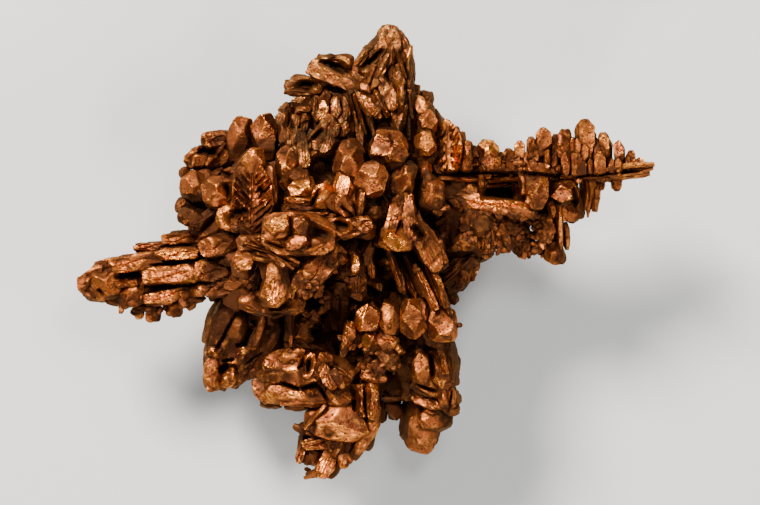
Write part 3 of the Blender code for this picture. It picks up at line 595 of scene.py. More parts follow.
def roughened(points, normals, size, grain):
    """The points moved along their normals, and how deep in a pit each of them is.

    Two noises make lumps, and the ridges of two finer ones make folds. A chip is a cell that
    stands higher or lower than its neighbours, and a pit is a cell's middle.
    """
    share = min(1.0, size / 3.0)
    fold = 1.0 - np.abs(noise(points, 0.75, 3)) - np.abs(noise(points, 0.42, 4))
    _, chip = cells(points, 1.3, 11)
    away, deep = cells(points, 0.85, 21)
    pit = (1.0 - ramp(0.15, 0.48, away)) * ramp(0.45, 0.9, deep)
    move = share * (0.08 + 0.12 * grain) * noise(points, 2.6, 1)
    move += share * (0.04 + 0.09 * grain) * noise(points, 1.1, 2)
    move += grain * (0.09 * fold + 0.22 * share * (chip - 0.5) - 0.20 * pit)
    return points + normals * move[:, None], pit * min(1.0, grain)


print("a crystal that points up:", place_of(0, 0, 0, 4, 2, 2, 0, 90)[0].round(3).tolist())

# %% [markdown]
# ## Relief
# Some faces are worked deeper than noise goes. A relief says how far the upper side of a crystal
# is pressed in, from u along it and v across it, both -1 to 1, and from the same in millimetres.

# %% Reliefs
def plain(u, v, along, across):
    """No relief."""
    return 0.0 * u


def wave(phase):
    """A wave from 0 to 1 that is 1 at every whole number: (1 + cos(2 pi phase)) / 2."""
    return 0.5 + 0.5 * np.cos(2.0 * math.pi * phase)


def herring(u, v, along, across):
    """Ribs that run back from a raised midrib: grooves of phase along + 1.1 |across|."""
    phase = (along + 1.1 * np.abs(across) + 0.4 * np.sin(across * 2.0)) / 1.5
    v = np.abs(v)
    area = ramp(0.08, 0.2, v) * (1.0 - ramp(0.5, 0.75, u)) * (1.0 - ramp(0.78, 0.92, v))
    return area * (0.15 + 0.75 * ramp(0.35, 1.0, wave(phase)))


def feather(u, v, along, across):
    """Ribs that run forward from a sunk midrib, the other way about than in a herringbone."""
    v = np.abs(v)
    groove = ramp(0.4, 1.0, wave((along - np.abs(across)) / 1.25))
    area = ramp(0.05, 0.2, v) * (1.0 - ramp(0.45, 0.7, u)) * (1.0 - ramp(0.75, 0.92, v))
    midrib = (1.0 - ramp(0.02, 0.10, v)) * (1.0 - ramp(0.4, 0.8, u))
    return 0.7 * area * groove + 0.5 * midrib


def lined(u, v, along, across):
    """Fine lines along the crystal, and a step or two across it."""
    waver = (2.5 * np.sin(along / 1.3) + 2.0 * np.sin(across * 1.7)) / (2.0 * math.pi)
    lines = wave(across / 0.62 + waver)
    steps = ramp(0.7, 1.0, wave((along + 0.35 * across) / 3.1))
    return 0.13 * lines * (0.5 + 0.5 * np.sin(along * 0.9 + across)) + 0.18 * steps


def bowl(u, v, along, across):
    """A dish inside a rim: deepest in the middle, level again near the edge."""
    return 1.5 * (1.0 - ramp(0.25, 0.78, np.sqrt(u * u + v * v)))


def scarred(u, v, along, across):
    """One crooked groove across the face and a shallow dent beside it."""
    groove = 1.0 - ramp(0.0, 0.16, np.abs(v - 0.35 * u - 0.12 * np.sin(5.0 * u)))
    dent = 1.0 - ramp(0.1, 0.45, np.hypot(u - 0.25, v + 0.4))
    return 0.28 * groove * (1.0 - ramp(0.5, 0.8, np.abs(u))) + 0.22 * dent


print("depth in the middle of a bowl, mm:", float(bowl(0.0, 0.0, 0.0, 0.0)))

# %% [markdown]
# ## Forms
# A form joins a kind's facets with what else shapes it: the ball, the number of extra facets, how
# wide it is at its base and at its tip, how far its facets are sunk, its grain and its relief.

# %% Forms
FORMS = {
    "knob": ("round", 1.04, 13, (0.98, 1.0), 0.03, 0.28, plain),
    "scar": ("round", 1.04, 13, (0.98, 1.0), 0.03, 0.35, scarred),
    "drop": ("bud", 1.10, 6, (0.66, 1.1), 0.04, 0.5, lined),
    "bud": ("bud", 1.10, 5, (0.86, 0.92), 0.04, 0.3, plain),
    "bar": ("bar", 1.14, 5, (1.0, 0.95), 0.05, 0.45, lined),
    "slab": ("slab", 1.10, 8, (1.0, 0.92), 0.05, 0.75, scarred),
    "fin": ("blade", 1.16, 0, (1.0, 0.9), 0.02, 0.6, plain),
    "leaf": ("leaf", 1.3, 0, (1.0, 1.0), 0.0, 0.8, herring),
    "feather": ("leaf", 1.3, 0, (1.0, 1.0), 0.0, 0.8, feather),
    "bowl": ("slab", 1.1, 6, (0.96, 0.96), 0.0, 0.8, bowl),
    "tooth": ("slab", 1.16, 0, (1.15, 0.12), 0.0, 0.4, plain),
    "bead": ("round", 1.05, 9, (1.0, 1.0), 0.03, 0.5, plain),
    "blade": ("blade", 1.2, 0, (1.0, 0.95), 0.03, 0.8, plain),
    "spear": ("leaf", 1.3, 0, (1.0, 1.0), 0.0, 0.8, plain),
    "lump": ("round", 0.95, 30, (1.0, 1.0), 0.03, 1.6, plain),
    "worn": ("round", 0.98, 24, (1.0, 0.96), 0.0, 0.55, plain),
    "plate": ("round", 1.0, 12, (0.75, 1.1), 0.0, 0.25, plain),
}
RINGS_FOR_LENGTH, TURNS_FOR_GIRTH = 1.7, 1.3  # of the length, and of width and depth together
LEAST_RINGS, LEAST_TURNS, MOST_RINGS, MOST_TURNS = 4, 7, 210, 180
crystals = []


def add_crystal(piece, form, place, rng, spacing, bend=0.0, dark=0.0):
    """Work out one crystal and keep its arrays in the list.

    In its box, the width and depth are scaled along the crystal from base to tip, the middle is
    pushed sideways by bend * (1 - u * u), and the relief is taken off the upper side.
    """
    kind, ball, extra, (base, tip), sunk, grain, relief = FORMS[form]
    facets = facets_of(kind, rng) + chamfers(extra, ball, rng)
    length, width, depth = place[3:6]
    rings = int(np.clip(RINGS_FOR_LENGTH * length / spacing, LEAST_RINGS, MOST_RINGS))
    turns = TURNS_FOR_GIRTH * (width + depth) / spacing
    turns = int(np.clip(turns, LEAST_TURNS, MOST_TURNS))
    rays = sphere_grid(rings, turns)
    sunk *= rng.uniform(0.5, 1.5)
    radius, edge, face = crystal_radius(rays, facets, BALL_SCALE * ball, sunk)
    local = rays * radius[:, None]
    u, v = local[:, 0].copy(), local[:, 1].copy()
    local[:, 1:] *= base + (tip - base) * (u[:, None] + 1.0) / 2.0
    upper = ramp(0.0, 0.35, local[:, 2])
    local[:, 2] -= upper * relief(u, v, u * length / 2, v * width / 2) / (depth / 2)
    local[:, 1] += bend * (1.0 - u * u) / (width / 2)
    axes, middle = place_of(*place)
    points = local @ axes.T + middle
    points, pit = roughened(points, grid_normals(points, rings, turns), min(width, depth), grain)
    crystals.append({
        "piece": piece,
        "points": points,
        "faces": sphere_faces(rings, turns),
        "edge": edge,
        "tone": 0.45 * rng.random() + 0.55 * ((face + rng.random()) % 1.0),
        "dark": dark,
        "pit": pit,
        "facets": facets,
        "axes": axes,
        "middle": middle,
        "half": min(width, depth) / 2,
        "radius": max(length, width, depth) / 2,
    })


print("forms:", ", ".join(FORMS))

# %% [markdown]
# ## The under layer
# The solid's own crystals come first. On the face they are a little smaller than in the solid,
# lower and painted dark, as shade, because they are what shows in the gaps. On the back they keep
# their size. The lumps of the core close what is left between them.

# %% Build the under layer
UNDER_SCALE = 0.93
UNDER_SUNK = 0.5  # mm
CORE_SCALE = 0.95
INWARD = {"spear_root": 0.6}  # mm that a region is moved up in the view, inside its outline
UNDER_SPACING, CORE_SPACING = 0.5, 1.0  # mm between vertices
draw = random.Random(SEED)
for region, rows in regions.items():
    if region in ("foot", "back"):
        piece, scale, sunk, dark = "copper_back", 1.0, 0.0, 0.0
    else:
        # On the face the under layer is painted dark: painted shade in the gaps.
        piece, scale, sunk, dark = "copper_under", UNDER_SCALE, UNDER_SUNK, 0.9
    for form, x, y, z, length, width, depth, heading, rise in rows:
        size = (length * scale, width * scale, depth * scale)
        place = (x, y + INWARD.get(region, 0.0), z - sunk, *size, heading, rise)
        add_crystal(piece, form, place, draw, UNDER_SPACING, dark=dark)
for x, y, z, *half_axes in [row[:6] for row in CORE] + [FOOT]:
    size = [2 * half * CORE_SCALE for half in half_axes]
    # The core's lumps are painted dark too, as shade where they show between crystals.
    add_crystal("copper_back", "lump", (x, y, z, *size, 0, 0), draw, CORE_SPACING, dark=0.8)
print("under layer:", len(crystals), "crystals")

# %% [markdown]
# ## The face
# The crystals of the face are placed one by one. After its form, a row is: the x and y of its
# base, the x and y of its tip, its width and, where it needs them, by how many millimetres it
# stands proud, how far it bends sideways and how much darker it is painted, as tarnish and as
# painted shade. Here x, y and width are in sixths of a millimetre, counted right and down from the
# corner of the camera's view, because that is how the specimen was measured. How high a crystal
# lies isn't in the rows: a ray cast straight down finds the solid's surface under it.
#
# The peak is one large leaf-shaped crystal. Slanting side crystals leave its midrib like the
# barbs of a feather, so thin fins and bars lie on a broad slab.

# %% Face: peak
faces_of = {}
faces_of["copper_peak"] = table("""
    slab 386 112 389 38 46 -1.6 0 0.4, 388 66 390 25 25 0.4 0 0.5
    bar 387 34 365 51 11 0.2 0.3, 369 47 356 66 9 0.2, 396 32 408 50 11 0.3, 408 45 409 82 9 0.4
    bar 409 78 412 108 9 0.3
    fin 383 46 364 66 5 1, 386 50 371 68 4 1.1, 389 54 376 78 6 1.1, 392 46 390 74 6 1
    fin 397 50 404 74 5 1, 401 60 407 78 5 0.8
    knob 353 73 366 84 12 0.6, 363 66 374 78 11 0.8
    drop 372 90 385 66 9 1.2
    knob 378 76 388 88 9 1, 360 84 372 94 12 0.7 0 0.3, 394 72 402 90 13 0.8
    drop 352 90 380 120 15 1.2, 385 96 371 118 8 1.4, 382 82 396 110 15 1.2 0 0.3
    bar 376 92 388 116 6 1.5
    drop 410 80 397 132 16 1 -0.5
    fin 414 92 409 140 8 0.7 -0.4, 402 100 396 122 6 1.4
""")
print("peak:", len(faces_of["copper_peak"]))

# %% [markdown]
# At its left is a crown of hoppers: crystals whose edges outgrew their faces, which left them
# open like a trough. Two bars round a slab make the trough's lips, and a slot is cut in it later.

# %% Face: crown
faces_of["copper_peak"] += table("""
    bar 311 67 334 58 10 0.2 0.4 0.3, 351 68 332 59 9 0.2 -0.5
    slab 308 68 358 88 17 0.9 0.3 0.5
    fin 314 66 352 74 4 0.4 -0.4
    knob 342 80 360 90 15 1
    bowl 322 86 287 88 19 0.5 0 0.35
    bar 289 84 310 79 6 0.9 0.4
    fin 284 91 318 96 6 0.9 0.4
    knob 291 104 313 100 13 0.7, 296 112 311 108 8 0.8, 279 114 291 105 11 0.3
    drop 284 110 281 132 13 0.4, 296 116 293 134 12 0.6, 306 112 303 132 11 0.7
    knob 286 134 291 146 10 0.6
    drop 300 130 306 168 13 0.9, 316 146 319 176 12 0.4, 314 98 318 124 9 0.8
    drop 341 116 344 138 14 0.9
    scar 336 118 316 152 22 1
    fin 305 143 327 123 6 1.3, 350 92 358 130 5 1.1, 354 93 366 134 4 1.3
    drop 357 118 362 152 8 0.8
    fin 366 104 375 138 6 0.5
    bead 347 93 354 92 6 1.4
""")
print("peak and crown:", len(faces_of["copper_peak"]))

# %% [markdown]
# The left shoulder has two upright blunt crystals, and a leaf-shaped one in front of them whose
# face is ribbed like a feather.

# %% Face: shoulder
faces_of["copper_shoulder"] = table("""
    slab 202 141 228 137 16 0.5 0 0.25, 187 166 206 149 18 0.2
    knob 189 166 208 155 16 0.8, 183 178 205 190 25 0.1 0 0.4
    bar 207 165 228 143 12 0.9
    knob 222 166 230 150 12 -0.4, 234 162 243 117 23 0.4, 268 160 262 114 25 0.4
    feather 252 230 253 158 40 1.5
    knob 254 176 254 148 23 1.4, 266 166 268 218 18 1.5 0.4, 246 200 254 228 13 1.3
    bar 244 160 217 165 8 1.1 -0.3
    slab 244 170 224 177 14 1.1
    bar 229 166 212 177 9 0.8, 237 181 213 183 8 1
    knob 202 189 232 193 27 0.8 0 0.45
    bowl 219 217 257 222 24 0.8
    bar 232 229 258 222 8 1.5 -0.3
    knob 184 198 179 213 12 0
    bead 190 220 183 224 8 0, 194 228 188 230 8 0
    knob 234 206 197 243 15 0.6 0.9 0.35, 203 243 221 224 15 0.7 0 0.25
    bead 196 212 204 216 9 -0.4
""")
print("shoulder:", len(faces_of["copper_shoulder"]))

# %% [markdown]
# The heart is a dome of blunt crystals that point at the viewer, so each is nearly as wide as it
# is long. Small fins and drops fan out between them.

# %% Face: heart
faces_of["copper_heart"] = table("""
    knob 347 178 349 147 28 0.4 0 0.35, 388 132 390 164 35 0.5, 373 164 370 197 31 0.5 0 0.1
    knob 409 166 397 197 22 0.5 0 0.25, 345 207 345 171 20 0.6, 290 181 288 148 22 0.5
    knob 282 186 300 176 15 0.9, 417 97 425 117 14 0.2, 429 111 427 133 18 0.4 0 0.3
    knob 424 131 426 156 20 0.4 0 0.35
    bead 417 160 426 161 9 0.4
    knob 424 162 424 183 15 0.4, 434 180 427 211 25 0.5 0 0.3
    bead 381 199 387 205 8 -0.4
    drop 356 218 336 197 17 0.4, 355 218 348 188 11 0.6
    fin 356 220 363 192 8 0.8, 357 220 351 198 5 1
    slab 353 226 372 222 17 0.7
    bowl 357 228 328 226 18 0.4
    fin 326 221 345 238 6 0.9 -0.2, 343 237 362 232 6 0.9
    bar 316 219 335 216 7 0.4
    knob 287 190 316 188 23 0.8, 316 210 327 184 18 0.9
    bar 284 210 328 214 7 0.9 -0.5
    fin 278 200 300 203 6 0.5, 284 207 302 208 6 0.6
    slab 284 203 322 205 15 0.5
    drop 399 196 391 242 21 0.4, 407 194 413 242 16 0.5
    knob 380 236 413 243 22 0.8
    drop 410 221 437 268 22 0.5 0 0.3
    fin 415 218 446 262 10 0.8 0.3
    bead 436 231 447 234 18 -0.8
    fin 433 224 447 217 6 0.8
    knob 456 243 476 241 17 0.4
    fin 459 229 471 211 7 0.6, 479 236 473 213 8 0.6, 482 227 491 257 6 0.5
    tooth 464 231 470 212 10 1
    bar 482 236 475 212 9 0.9
    slab 443 291 475 260 23 0.1
    fin 444 284 464 266 6 0.7, 461 269 474 254 6 0.7
    leaf 450 174 447 121 25 0.2
    fin 464 173 469 141 12 0.3
    knob 489 162 488 141 20 0.3, 492 173 491 154 18 0.7
    drop 444 148 438 173 13 0.3
    knob 478 152 474 174 11 0.3
    fin 456 140 462 172 7 0.6
""")
print("heart:", len(faces_of["copper_heart"]))

# %% [markdown]
# Below the heart lie a large ring-shaped hopper, lobed plates, the thin parallel ribs and the
# dark hollow with its small crystals.

# %% Face: hoppers, ribs and hollow
faces_of["copper_hoppers"] = table("""
    bowl 262 231 334 237 40 0.1
    knob 267 229 289 221 20 0.8, 297 236 301 215 20 0.8, 273 239 290 231 8 1, 283 247 308 239 14 0.8
    fin 263 232 298 254 7 0.7 -0.6, 303 252 335 235 7 0.7 -0.4, 307 221 332 227 5 0.3
    bead 315 233 323 233 9 0.3
    slab 199 251 237 241 19 0.6, 238 245 264 240 16 0.3
    knob 250 246 240 270 21 0.6
    fin 245 237 285 267 9 0.9, 253 239 293 269 6 1.1, 261 243 299 263 6 1
    drop 278 259 273 307 28 0.8
    fin 279 261 289 298 10 1
    bar 255 293 263 267 14 0.4
    knob 297 273 290 298 12 0.5
    slab 298 290 340 245 25 0.7 0 0.2
    bead 306 285 313 288 8 1, 316 287 322 291 8 0.8, 303 294 309 297 8 0.8
    knob 340 242 352 248 11 0, 336 254 346 262 10 0
    bar 388 248 403 292 7 1.1, 396 252 416 300 7 0.8, 414 264 437 310 9 1.3, 432 266 447 308 8 1.1
    bar 443 294 452 322 7 0.8
    fin 404 254 426 298 4 1.4, 424 262 442 306 4 1.2, 398 250 404 292 6 0.4
    knob 415 299 412 338 27 0.7 0 0.3, 440 306 444 342 27 0.7, 421 303 423 322 11 1.1
    drop 360 249 358 290 18 0.2
    knob 371 268 372 286 12 0.1, 377 262 394 264 14 -0.3, 366 304 368 331 23 0.8
    knob 389 298 390 336 22 0.5 0 0.5, 358 326 358 350 13 0.7, 370 330 370 350 14 0.9
    slab 378 334 396 346 16 0.6
    fin 353 322 342 357 12 0.5, 352 341 341 357 5 1, 358 349 345 367 6 0.8
    slab 363 372 383 372 20 0.6
    knob 297 315 301 339 19 0.4 0 0.3
    fin 290 314 291 347 6 0.6
    bead 303 313 313 313 10 0.4, 326 343 336 343 10 0.2
    knob 333 290 339 319 12 0, 322 294 329 302 12 0
""")
print("hoppers:", len(faces_of["copper_hoppers"]))

# %% [markdown]
# The left lobe, the crumpled lower body and the right leg are worn: their crystals have grown
# together and lost their corners, so most are smooth lobes that the slots will part.

# %% Face: legs
faces_of["copper_legs"] = table("""
    worn 434 336 447 394 26 0.3 0 0.2, 424 350 422 388 24 0.3 0 0.4
    bar 436 340 446 374 10 1.5
    fin 429 344 434 376 6 1.3
    worn 414 376 444 394 20 0.7 0 0.3
    slab 412 392 444 404 18 0.6
    knob 443 388 446 408 12 1.4, 451 388 452 408 9 1.2, 446 398 448 411 12 0.9
    worn 418 421 446 417 20 0.5 0 0.35
    knob 424 410 440 412 9 1
    worn 425 396 418 454 35 0.2 0 0.55
    knob 387 402 400 418 13 0.1
    bar 382 396 400 398 7 0.3
    knob 403 339 407 368 15 0
    worn 232 299 219 391 32 0.2 0 0.2, 252 304 230 386 44 0.3, 276 312 258 374 36 0.3
    worn 230 298 213 350 23 1, 241 310 236 344 20 1.5, 264 314 252 350 10 1.5 0.4
    worn 280 320 262 356 17 0.8, 266 348 240 368 11 1.3, 205 354 227 350 14 1.2
    worn 211 358 213 392 17 1 0 0.35, 236 368 222 388 15 1, 262 366 236 378 14 0.6
    bowl 242 302 304 304 23 0.3
    fin 246 306 276 317 4 0.9 -0.2, 272 317 303 301 4 0.9 -0.3
    worn 264 370 338 363 42 0.3, 262 378 300 371 18 0.9, 278 362 306 352 16 0.9
    bowl 304 378 312 354 14 1.3
    bar 300 356 303 380 6 1.6
    knob 316 353 333 361 11 1.3
    drop 322 364 334 390 14 1.3
    knob 332 370 346 387 14 1.3, 256 378 270 404 19 0.3, 264 387 276 384 9 1
    worn 262 392 330 398 22 0.6
    bar 280 401 326 404 9 0.8
    knob 303 388 317 394 11 1.6
    worn 322 392 354 400 26 0.7 0 0.3
    bar 361 384 362 417 11 0.9, 372 382 373 420 12 1
    knob 351 386 366 386 9 0.7
    plate 304 422 371 423 33 1.9 0 0.35
    fin 306 428 326 404 6 1.8
    worn 378 404 352 456 15 0.8 0.6
    bar 306 432 362 439 7 1 -0.3
    knob 298 431 312 426 12 0.5
    slab 302 444 344 442 13 0.4
    drop 304 440 298 464 9 0.2, 334 440 320 478 18 0.2, 350 436 342 468 13 0.3
    fin 326 470 305 478 7 0.2
""")
print("legs:", len(faces_of["copper_legs"]))

# %% [markdown]
# The spear is a thin spine with a fringe of upright buds on it, and ledges, knobs and claws at
# its root.

# %% Face: spear
faces_of["copper_spear"] = table("""
    bud 510 170 510 149 10 0.2, 520 160 520 140 12 0.2, 531 157 531 136 10 0.2
    bud 544 153 543 127 16 0.2 0 0.25, 555 155 555 134 11 0.2, 565 158 565 131 15 0.2
    bud 574 157 573 137 7 0.1, 585 160 585 119 21 0.2 0 0.35, 597 160 597 139 8 0.1
    bud 605 158 604 132 13 0.2, 619 162 619 141 11 0.2, 631 165 631 150 9 0.2, 640 168 640 157 8 0.1
    bud 578 157 578 138 6 0.9, 585 161 585 144 9 0.9, 603 158 602 145 6 0.6, 566 177 565 152 9 0.8
    bud 577 152 578 183 13 0.9, 600 177 600 151 12 0.8, 590 178 590 158 7 0.5, 612 175 612 158 7 0.6
    bud 619 175 618 159 9 0.6, 628 173 628 156 7 0.6, 635 172 635 159 8 0.6, 584 176 584 160 6 0.6
    bud 555 172 554 154 7 0.7, 547 166 547 150 7 0.8, 536 164 536 150 7 0.8, 528 168 527 152 7 0.7
    bud 518 172 518 158 7 0.7
    bead 543 165 551 166 9 0.8, 551 159 558 161 9 0.7, 520 170 526 171 8 0.6, 547 174 555 175 8 0.6
    bead 556 168 562 169 7 0.6
    bar 598 176 653 168 6 0.5 -0.2, 604 171 655 164 6 0.6 0.3, 606 179 650 173 7 0.2
    bar 560 177 606 177 4 0.4
    bud 616 175 617 191 11 0.2, 602 177 602 190 7 0.2
    tooth 590 178 588 217 17 0 0 0.45
    fin 586 180 585 210 6 0.5 0.3
    bar 597 182 595 212 8 0.1
    knob 551 190 579 191 23 0.8, 559 202 574 219 19 0 0 0.4, 538 208 536 163 22 0.8 0 0.2
    knob 526 194 524 168 12 0.8, 526 199 544 206 13 0.6, 545 214 546 244 18 0.6 0 0.35
    bar 558 203 561 258 7 0.9, 566 222 567 250 7 0.1
    knob 552 240 555 265 20 0.2 0 0.4
    bar 550 200 553 216 8 0.5
    slab 458 197 534 212 16 0.8
    bar 462 192 506 201 6 1, 484 166 482 191 9 0.5, 488 171 519 171 6 0.5, 482 181 521 178 5 0.7
    bar 483 187 508 184 4 0.6
    bud 515 181 518 201 10 0.6
    bar 440 168 478 165 6 0.3, 438 178 482 180 5 0.2
    knob 466 184 478 192 9 0.2, 445 186 458 192 9 0.2
    bar 496 162 520 160 8 0.3
    knob 498 154 506 160 9 0.3, 448 200 462 208 10 0
    slab 500 222 520 232 14 -0.2
    bar 484 218 492 246 7 0.4, 492 222 500 250 6 0.2
""")
print("spear:", len(faces_of["copper_spear"]))

# %% [markdown]
# The left arm is a bundle of long parallel bars with a blunt nose and beads along its lower edge.

# %% Face: arm
faces_of["copper_arm"] = table("""
    slab 198 239 161 241 15 0.4
    bar 197 233 170 235 8 1
    slab 165 246 133 248 9 0.3, 162 259 95 268 17 0.3
    bar 158 255 118 259 9 0.8
    slab 199 253 155 255 13 0.6
    bar 196 249 160 250 6 1, 198 262 150 265 6 0.3
    slab 198 274 142 277 20 0.5 0 0.35
    bar 184 267 149 270 7 1.2
    knob 182 266 201 266 12 1
    slab 194 270 228 273 22 0.7, 194 291 143 300 13 0.4
    tooth 180 297 197 289 12 1.2
    bar 172 300 146 305 7 0.2
    knob 120 280 88 284 34 0.2 0 0.5
    slab 105 267 78 287 15 0.2 0 0.5, 80 286 106 299 12 0 0 0.5
    knob 113 273 98 281 13 0.8
    fin 85 284 97 270 6 0.8
    knob 112 290 99 295 10 0.6
    bar 137 283 114 285 7 0.4
    knob 139 286 118 304 21 0.3 0 0.3
    bar 140 270 141 302 7 0.2
    knob 120 297 122 308 10 0.1
    bead 135 314 144 315 10 0, 145 317 154 316 11 0.2, 144 307 153 308 10 0.4, 154 310 162 309 7 0.1
    bead 165 308 182 308 16 0.1
    knob 190 293 212 287 13 0.3
    slab 206 291 240 284 17 0.3
    knob 222 286 248 283 14 0.3, 208 298 224 292 11 0.2
    bar 196 262 228 262 5 0.4
""")
print("arm:", len(faces_of["copper_arm"]))

# %% [markdown]
# Crystals low in the gaps between the others close them, painted dark as shade. They belong to the
# under layer.

# %% Face: gaps
face_gaps = table("""
    knob 302 454 322 458 20 -1.5, 382 392 381 424 13 -2, 374 420 364 450 15 -1.5
    knob 178 213 206 222 18 -1, 576 190 580 218 14 -1, 284 406 310 406 10 -1.5, 260 403 282 406 9 -1
    knob 172 247 200 247 12 -1, 558 244 562 264 12 -1, 408 50 411 86 12 -1, 184 166 186 180 14 -1
    knob 450 402 456 416 14 -1, 290 80 312 80 12 -1, 182 299 206 299 9 -0.8, 219 258 241 259 15 -1.2
    knob 248 284 270 278 15 -1.7, 470 148 480 156 12 -1, 322 58 340 58 10 -1, 137 306 146 306 10 -1
    knob 208 166 222 170 12 -1.5, 198 204 210 208 12 -1.5, 410 158 436 160 14 -1.5
    knob 545 180 565 180 10 -1.5, 500 188 520 190 12 -2.5, 536 246 546 246 10 -1
    bar 580 178 615 177 8 -0.8
    knob 404 188 402 218 22 -1.5, 424 312 438 346 22 -1.5, 584 172 610 180 10 -0.5
    knob 446 292 457 303 12 -1
""")
print("gaps:", len(face_gaps))

# %% [markdown]
# Thin crystals also grow side by side in sheaves. After the form, a row is the first and the last
# base, the first and the last tip, how many crystals, their width and how proud they stand.

# %% Face: sheaves
sheaves = {
    "copper_peak": table("""
        fin 374 62 398 58 360 86 404 86 5 7 1, 400 84 410 78 394 128 412 124 3 6 1.2
        drop 316 94 346 98 306 130 350 132 5 9 0.7, 284 122 330 134 286 152 322 172 5 10 0.5
    """),
    "copper_shoulder": table("""
        fin 238 172 250 166 244 206 254 216 4 6 1
    """),
    "copper_heart": table("""
        fin 280 198 280 212 302 200 302 214 3 5 0.7, 412 214 430 222 428 262 448 262 4 7 0.8
        drop 440 128 456 130 438 168 458 170 3 7 0.6, 462 218 488 218 466 236 484 250 3 7 0.7
        drop 448 270 474 258 452 290 480 276 3 8 0.6
    """),
    "copper_hoppers": table("""
        fin 244 240 254 258 290 262 300 266 4 5 0.9
        drop 352 252 370 254 354 284 374 288 3 8 0.4
    """),
    "copper_legs": table("""
        drop 338 422 364 424 318 470 344 464 4 10 0.5
    """),
    "copper_spear": table("""
        fin 478 216 500 222 486 246 508 250 4 7 0.5, 476 166 516 164 476 180 516 178 5 6 0.5
    """),
    "copper_arm": table("""
        bar 232 266 240 284 202 278 206 290 3 7 0.5
    """),
}
print("sheaves:", sum(len(rows) for rows in sheaves.values()))

# %% [markdown]
# Rays cast down on the solid along a crystal's axis give how high it lies and how it slopes. The
# lowest third of them is left out, because those fell into a gap beside it.

# %% Heights of the solid
PX = 1.0 / PIXELS_PER_MM  # mm in a view unit
VIEW_ORIGIN = (366.0, 252.0)  # view units, where the tables' frame has its origin
FACE_HEIGHT = 22.0  # mm, about how high the face lies in the tables' frame
SIDE_HEIGHT = 32.0  # mm, for a place with no solid anywhere near
SHIFT = np.array((-MIDDLE[0], -MIDDLE[1], -CUT))  # mm, from the tables' frame to the part's
CAMERA_HEIGHT = CAMERA_ABOVE + VIEW_MIDDLE[2] - SHIFT[2]  # mm, in the tables' frame
# The solid's box in the tables' frame, in mm, a little smaller so that crystals stay inside it.
TOP_OF_BOX = cad_high.z / MM - 0.12 - SHIFT[2]
BOX_LIMITS = np.array([cad_low[:2], cad_high[:2]]) / MM - SHIFT[:2] + np.array([[0.2], [-0.2]])
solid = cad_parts["copper_nugget"]


def view_point(x, y, height=FACE_HEIGHT):
    """View units to millimetres in the tables' frame, for a thing at that height.

    What is nearer to the camera than the plane the view is measured in looks larger by a little.
    """
    farther = (CAMERA_HEIGHT - height) / CAMERA_ABOVE
    middle = np.array(VIEW_MIDDLE[:2]) - SHIFT[:2]
    return middle + (np.array((x - VIEW_ORIGIN[0], VIEW_ORIGIN[1] - y)) * PX - middle) * farther


def solid_height(x, y):
    """The height of the solid's surface at a place of the tables' frame, or None beside it."""
    start = Vector(((x + SHIFT[0]) * MM, (y + SHIFT[1]) * MM, 0.2))
    hit, spot, _, _ = solid.ray_cast(start, Vector((0.0, 0.0, -1.0)))
    return spot.z / MM - SHIFT[2] if hit else None


def height_nearby(x, y):
    """The lowest height of the solid on the smallest ring round a place that meets it."""
    turns = np.arange(12) * math.pi / 6
    for reach in range(1, 8):
        ring = zip(x + reach * np.cos(turns), y + reach * np.sin(turns))
        found = [height for height in (solid_height(*spot) for spot in ring) if height is not None]
        if found:
            return min(found)
    return SIDE_HEIGHT


print("height of the solid in the middle, mm:", round(solid_height(0.0, 0.0), 1))

# %% Lay the face on the solid
SAMPLES = (0.12, 0.31, 0.5, 0.69, 0.88)  # where the rays go down, along the crystal
MOST_SLOPE = 26.0  # degrees
WIDER = 1.1  # because rounding takes a little off every side of a form that has its own facets
DEEPER, LEAST_DEPTH = 0.95, 2.6  # a crystal's depth: of its width, and at least so many mm
PROUD = 0.15  # mm that every crystal of the face stands above the solid
LIFT = 0.7  # mm for each millimetre that a row says it stands proud
BURIED = 0.46  # of its depth, how far a crystal's middle lies below its top


def face_place(form, base_x, base_y, tip_x, tip_y, width, lift=0.0, *_):
    """The place of a crystal of the face: a line fitted to the heights along its axis."""
    start, end = view_point(base_x, base_y), view_point(tip_x, tip_y)
    length = math.hypot(*(end - start))
    samples = [(share - 0.5, solid_height(*(start + (end - start) * share))) for share in SAMPLES]
    samples = [(share, height) for share, height in samples if height is not None]
    samples.sort(key=lambda pair: pair[1])
    best = samples[len(samples) // 3:] or [(0.0, height_nearby(*(start + end) / 2))]
    shares, heights = np.array(best).T
    top, slope = heights.mean(), 0.0
    away = shares - shares.mean()
    if len(best) > 2 and (away**2).sum() > 0.02:
        slope = (away * (heights - top)).sum() / (away**2).sum()
        top -= slope * shares.mean()
    rise = math.degrees(math.atan2(slope, length))
    rise = max(-MOST_SLOPE, min(MOST_SLOPE, rise))
    width *= PX * (1.0 if form in ("knob", "scar", "bead") else WIDER)
    depth = max(LEAST_DEPTH, DEEPER * width)
    top = min(top + PROUD + LIFT * lift, TOP_OF_BOX)
    start, end = view_point(base_x, base_y, top), view_point(tip_x, tip_y, top)
    start, end = np.clip((start, end), *BOX_LIMITS)
    heading = math.degrees(math.atan2(*(end - start)[::-1]))
    middle = (*(start + end) / 2, top - BURIED * depth)
    return (*middle, length / math.cos(math.radians(rise)), width, depth, heading, rise)


print("the peak's first crystal:", np.round(face_place(*faces_of["copper_peak"][0]), 1))

# %% [markdown]
# Each crystal draws its own random numbers, seeded by its row, so that a changed row leaves its
# neighbours as they are.

